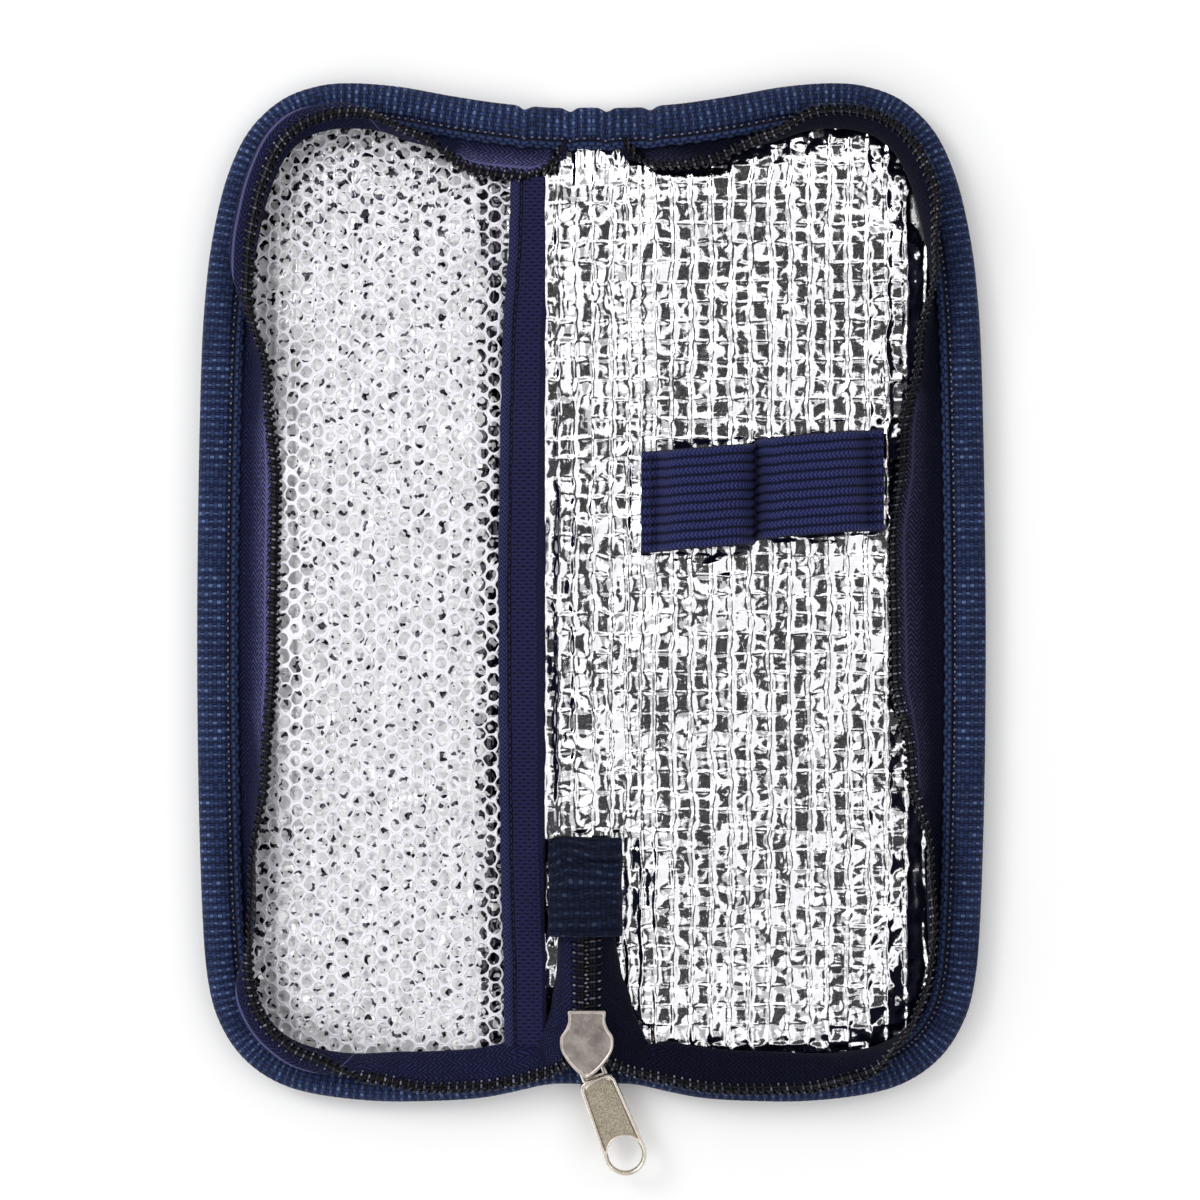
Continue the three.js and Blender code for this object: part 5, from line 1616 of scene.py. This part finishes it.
def placed_puller(outline):
    cos, sin = math.cos(puller_turn), math.sin(puller_turn)
    x, y = np.transpose(outline)
    return np.column_stack([chain_x + cos * x - sin * y, pivot_y + sin * x + cos * y])


def rim_loop(outline_at, half_thickness):
    """A closed bar; outline_at gives its outline at a share of its width."""
    outlines = [placed_puller(outline_at(share)) for share, _ in rim_section]
    return lofted(outlines, [pivot_z + rise * half_thickness for _, rise in rim_section], capped=False)


def puller(rim_material, field_material):
    """A plate with a raised rim, an eye and a ring, and inside them a thin web with a raised field."""
    half_rim, half_eye, half_ring, half_field, half_web = 0.75, 0.65, 0.4, 0.45, 0.2  # half thicknesses
    eye_width = 0.42
    ring_x, ring_bar = 2.6, 0.9
    outer = block_outline(-ring_x, ring_x, -pad_start - 2 * ring_bar, ring_bar / 2)(0)
    room = block_outline(-ring_x + ring_bar, ring_x - ring_bar, -pad_start + 0.5, -ring_bar / 2)(0)
    meshes = [
        rim_loop(lambda share: puller_outline(share * puller_rim), half_rim),
        rim_loop(lambda share: circle(hole_radius + (1 - share) * eye_width), half_eye),
        rim_loop(lambda share: mix(outer, room, share), half_ring),
    ]
    ride(metal_piece("puller_rim", meshes, rim_material), "puller", "puller_metal", "slider_puller")
    hole = placed_puller(circle(hole_radius + 0.2))
    meshes = [
        filled(placed_puller(puller_outline(puller_rim + margin)), hole, half_thickness)
        for margin, half_thickness in ((-0.1, half_web), (0.24, half_field))
    ]
    field = metal_piece("puller_field", meshes, field_material)
    field.data.shade_flat()
    ride(field, "puller", "puller_metal")


# Floor, light and camera

def add_floor():
    look = Look("floor", 0.9, specular=0.0)
    look.set(Base_Color=colour(252, 252, 252))
    corners = [(-1, -1, 0), (1, -1, 0), (1, 1, 0), (-1, 1, 0)]
    points = np.array(corners) * floor_reach + (0, 0, floor_level)
    make_piece("floor", points, [np.arange(4)[None]], look.material)


def add_world():
    """A pale studio: dark where the camera hangs, which flat foil mirrors, and grey on either side of it."""
    world = bpy.data.worlds.new("studio")
    bpy.context.scene.world = world
    world.use_nodes = True
    sky = Nodes(world.node_tree)

    def patch(towards, inner, outer, shade):
        """Darkens the sky round a direction, from the inner to the outer angle."""
        inputs = {0: direction, 1: tuple(unit(np.array(towards)))}
        near = sky.add("ShaderNodeVectorMath", inputs, 1, operation="DOT_PRODUCT")
        return near.map(math.cos(math.radians(outer)), math.cos(math.radians(inner)), 1.0, shade)

    direction = sky.add("ShaderNodeTexCoord", {}, "Generated")
    right, _, up = sky.parts(direction)
    glint = sky.noise(direction, 11.0, 1.0).map(0.52, 0.68, 0.035, 0.2)
    walls = up.map(0.24, 0.3, 0, 1) * up.map(0.46, 0.53, 1, 0)
    clutter = sky.noise(direction, 1.8, 1.0).map(0.5, 0.6, 1, 0.45)
    light = sky_strength * patch((0.02, 0.04, 1), 19, 20, glint)
    light = light * patch((0.05, -0.52, 0.88), 5, 16, 0.4) * walls.map(0, 1, 1, 0.5)
    light = light * sky.maths("MAXIMUM", clutter, up.map(0.2, 0.35, 1, 0)) * right.map(-1, 1, 1.2, 0.8)
    background = next(n for n in sky.tree.nodes if n.type == "BACKGROUND")
    sky.put((1, 1, 1, 1), background.inputs[0])
    sky.put(light, background.inputs[1])


def add_lamps():
    for name, (side, watts) in lamp_watts.items():
        lamp = bpy.data.lights.new(name, "AREA")
        lamp.energy = watts
        lamp.size = lamp_size
        spot = Vector(lamp_spot) * Vector((side, 1, 1))
        holder = bpy.data.objects.new(name, lamp)
        holder.location = spot
        holder.rotation_euler = (-spot).to_track_quat("-Z", "Y").to_euler()
        bpy.context.scene.collection.objects.link(holder)


def add_camera():
    data = bpy.data.cameras.new("camera")
    data.angle = 2 * math.atan(view_width / 2 / camera_height)
    data.clip_start, data.clip_end = camera_range
    camera = bpy.data.objects.new("camera", data)
    camera.location = (camera_x * MM, camera_y * MM, camera_height * MM)
    bpy.context.scene.collection.objects.link(camera)
    bpy.context.scene.camera = camera


def dress_case():
    # Painted shade: the right binding is a darker copy of the left, for the side turned from the key lamp.
    binding = {1: binding_cloth("right_binding_shaded", 0.88), -1: binding_cloth("left_binding_lit", 0.96)}
    # Painted shade: the right tape is a much darker copy of the left, for the side turned from the key lamp.
    tape_cloth = {1: twill_cloth("right_zip_tape", 0.56), -1: twill_cloth("left_zip_tape", 1.0)}
    coil_nylon = nylon()
    foil = foil_laminate()
    dark_thread = thread("thread", colour(10, 11, 24), colour(34, 37, 70))
    pale_thread = thread("seam_thread", colour(70, 70, 100), colour(150, 140, 160))
    cover = cover_weave()
    foam_pads(foam_cells())
    for side in half_names:
        outer_cover(side, cover)
        foil_lining(side, foil)
        edge_binding(side, binding[side])
        binding_stitches(side, pale_thread)
        rows, middle, way, curl = zip_rows(side)
        zip_tape(side, rows, curl, tape_cloth[side])
        zip_coil(side, middle, way, coil_nylon)
    mesh_pocket(net_yarn())
    pocket_band(band_elastic())
    band_stitches(dark_thread)
    pen_loops(loop_elastic())
    loop_stitches(dark_thread)
    end_tab(binding_cloth("tab_binding", 0.5))
    slider(nickel("slider_nickel", colour(184, 173, 166), colour(214, 204, 197), 0.36))
    puller(nickel("puller_nickel", colour(226, 217, 205), colour(238, 231, 221), 0.26), sanded_nickel())


add_camera()
dress_case()
add_floor()
add_world()
add_lamps()
bpy.context.scene.view_settings.view_transform = "Standard"
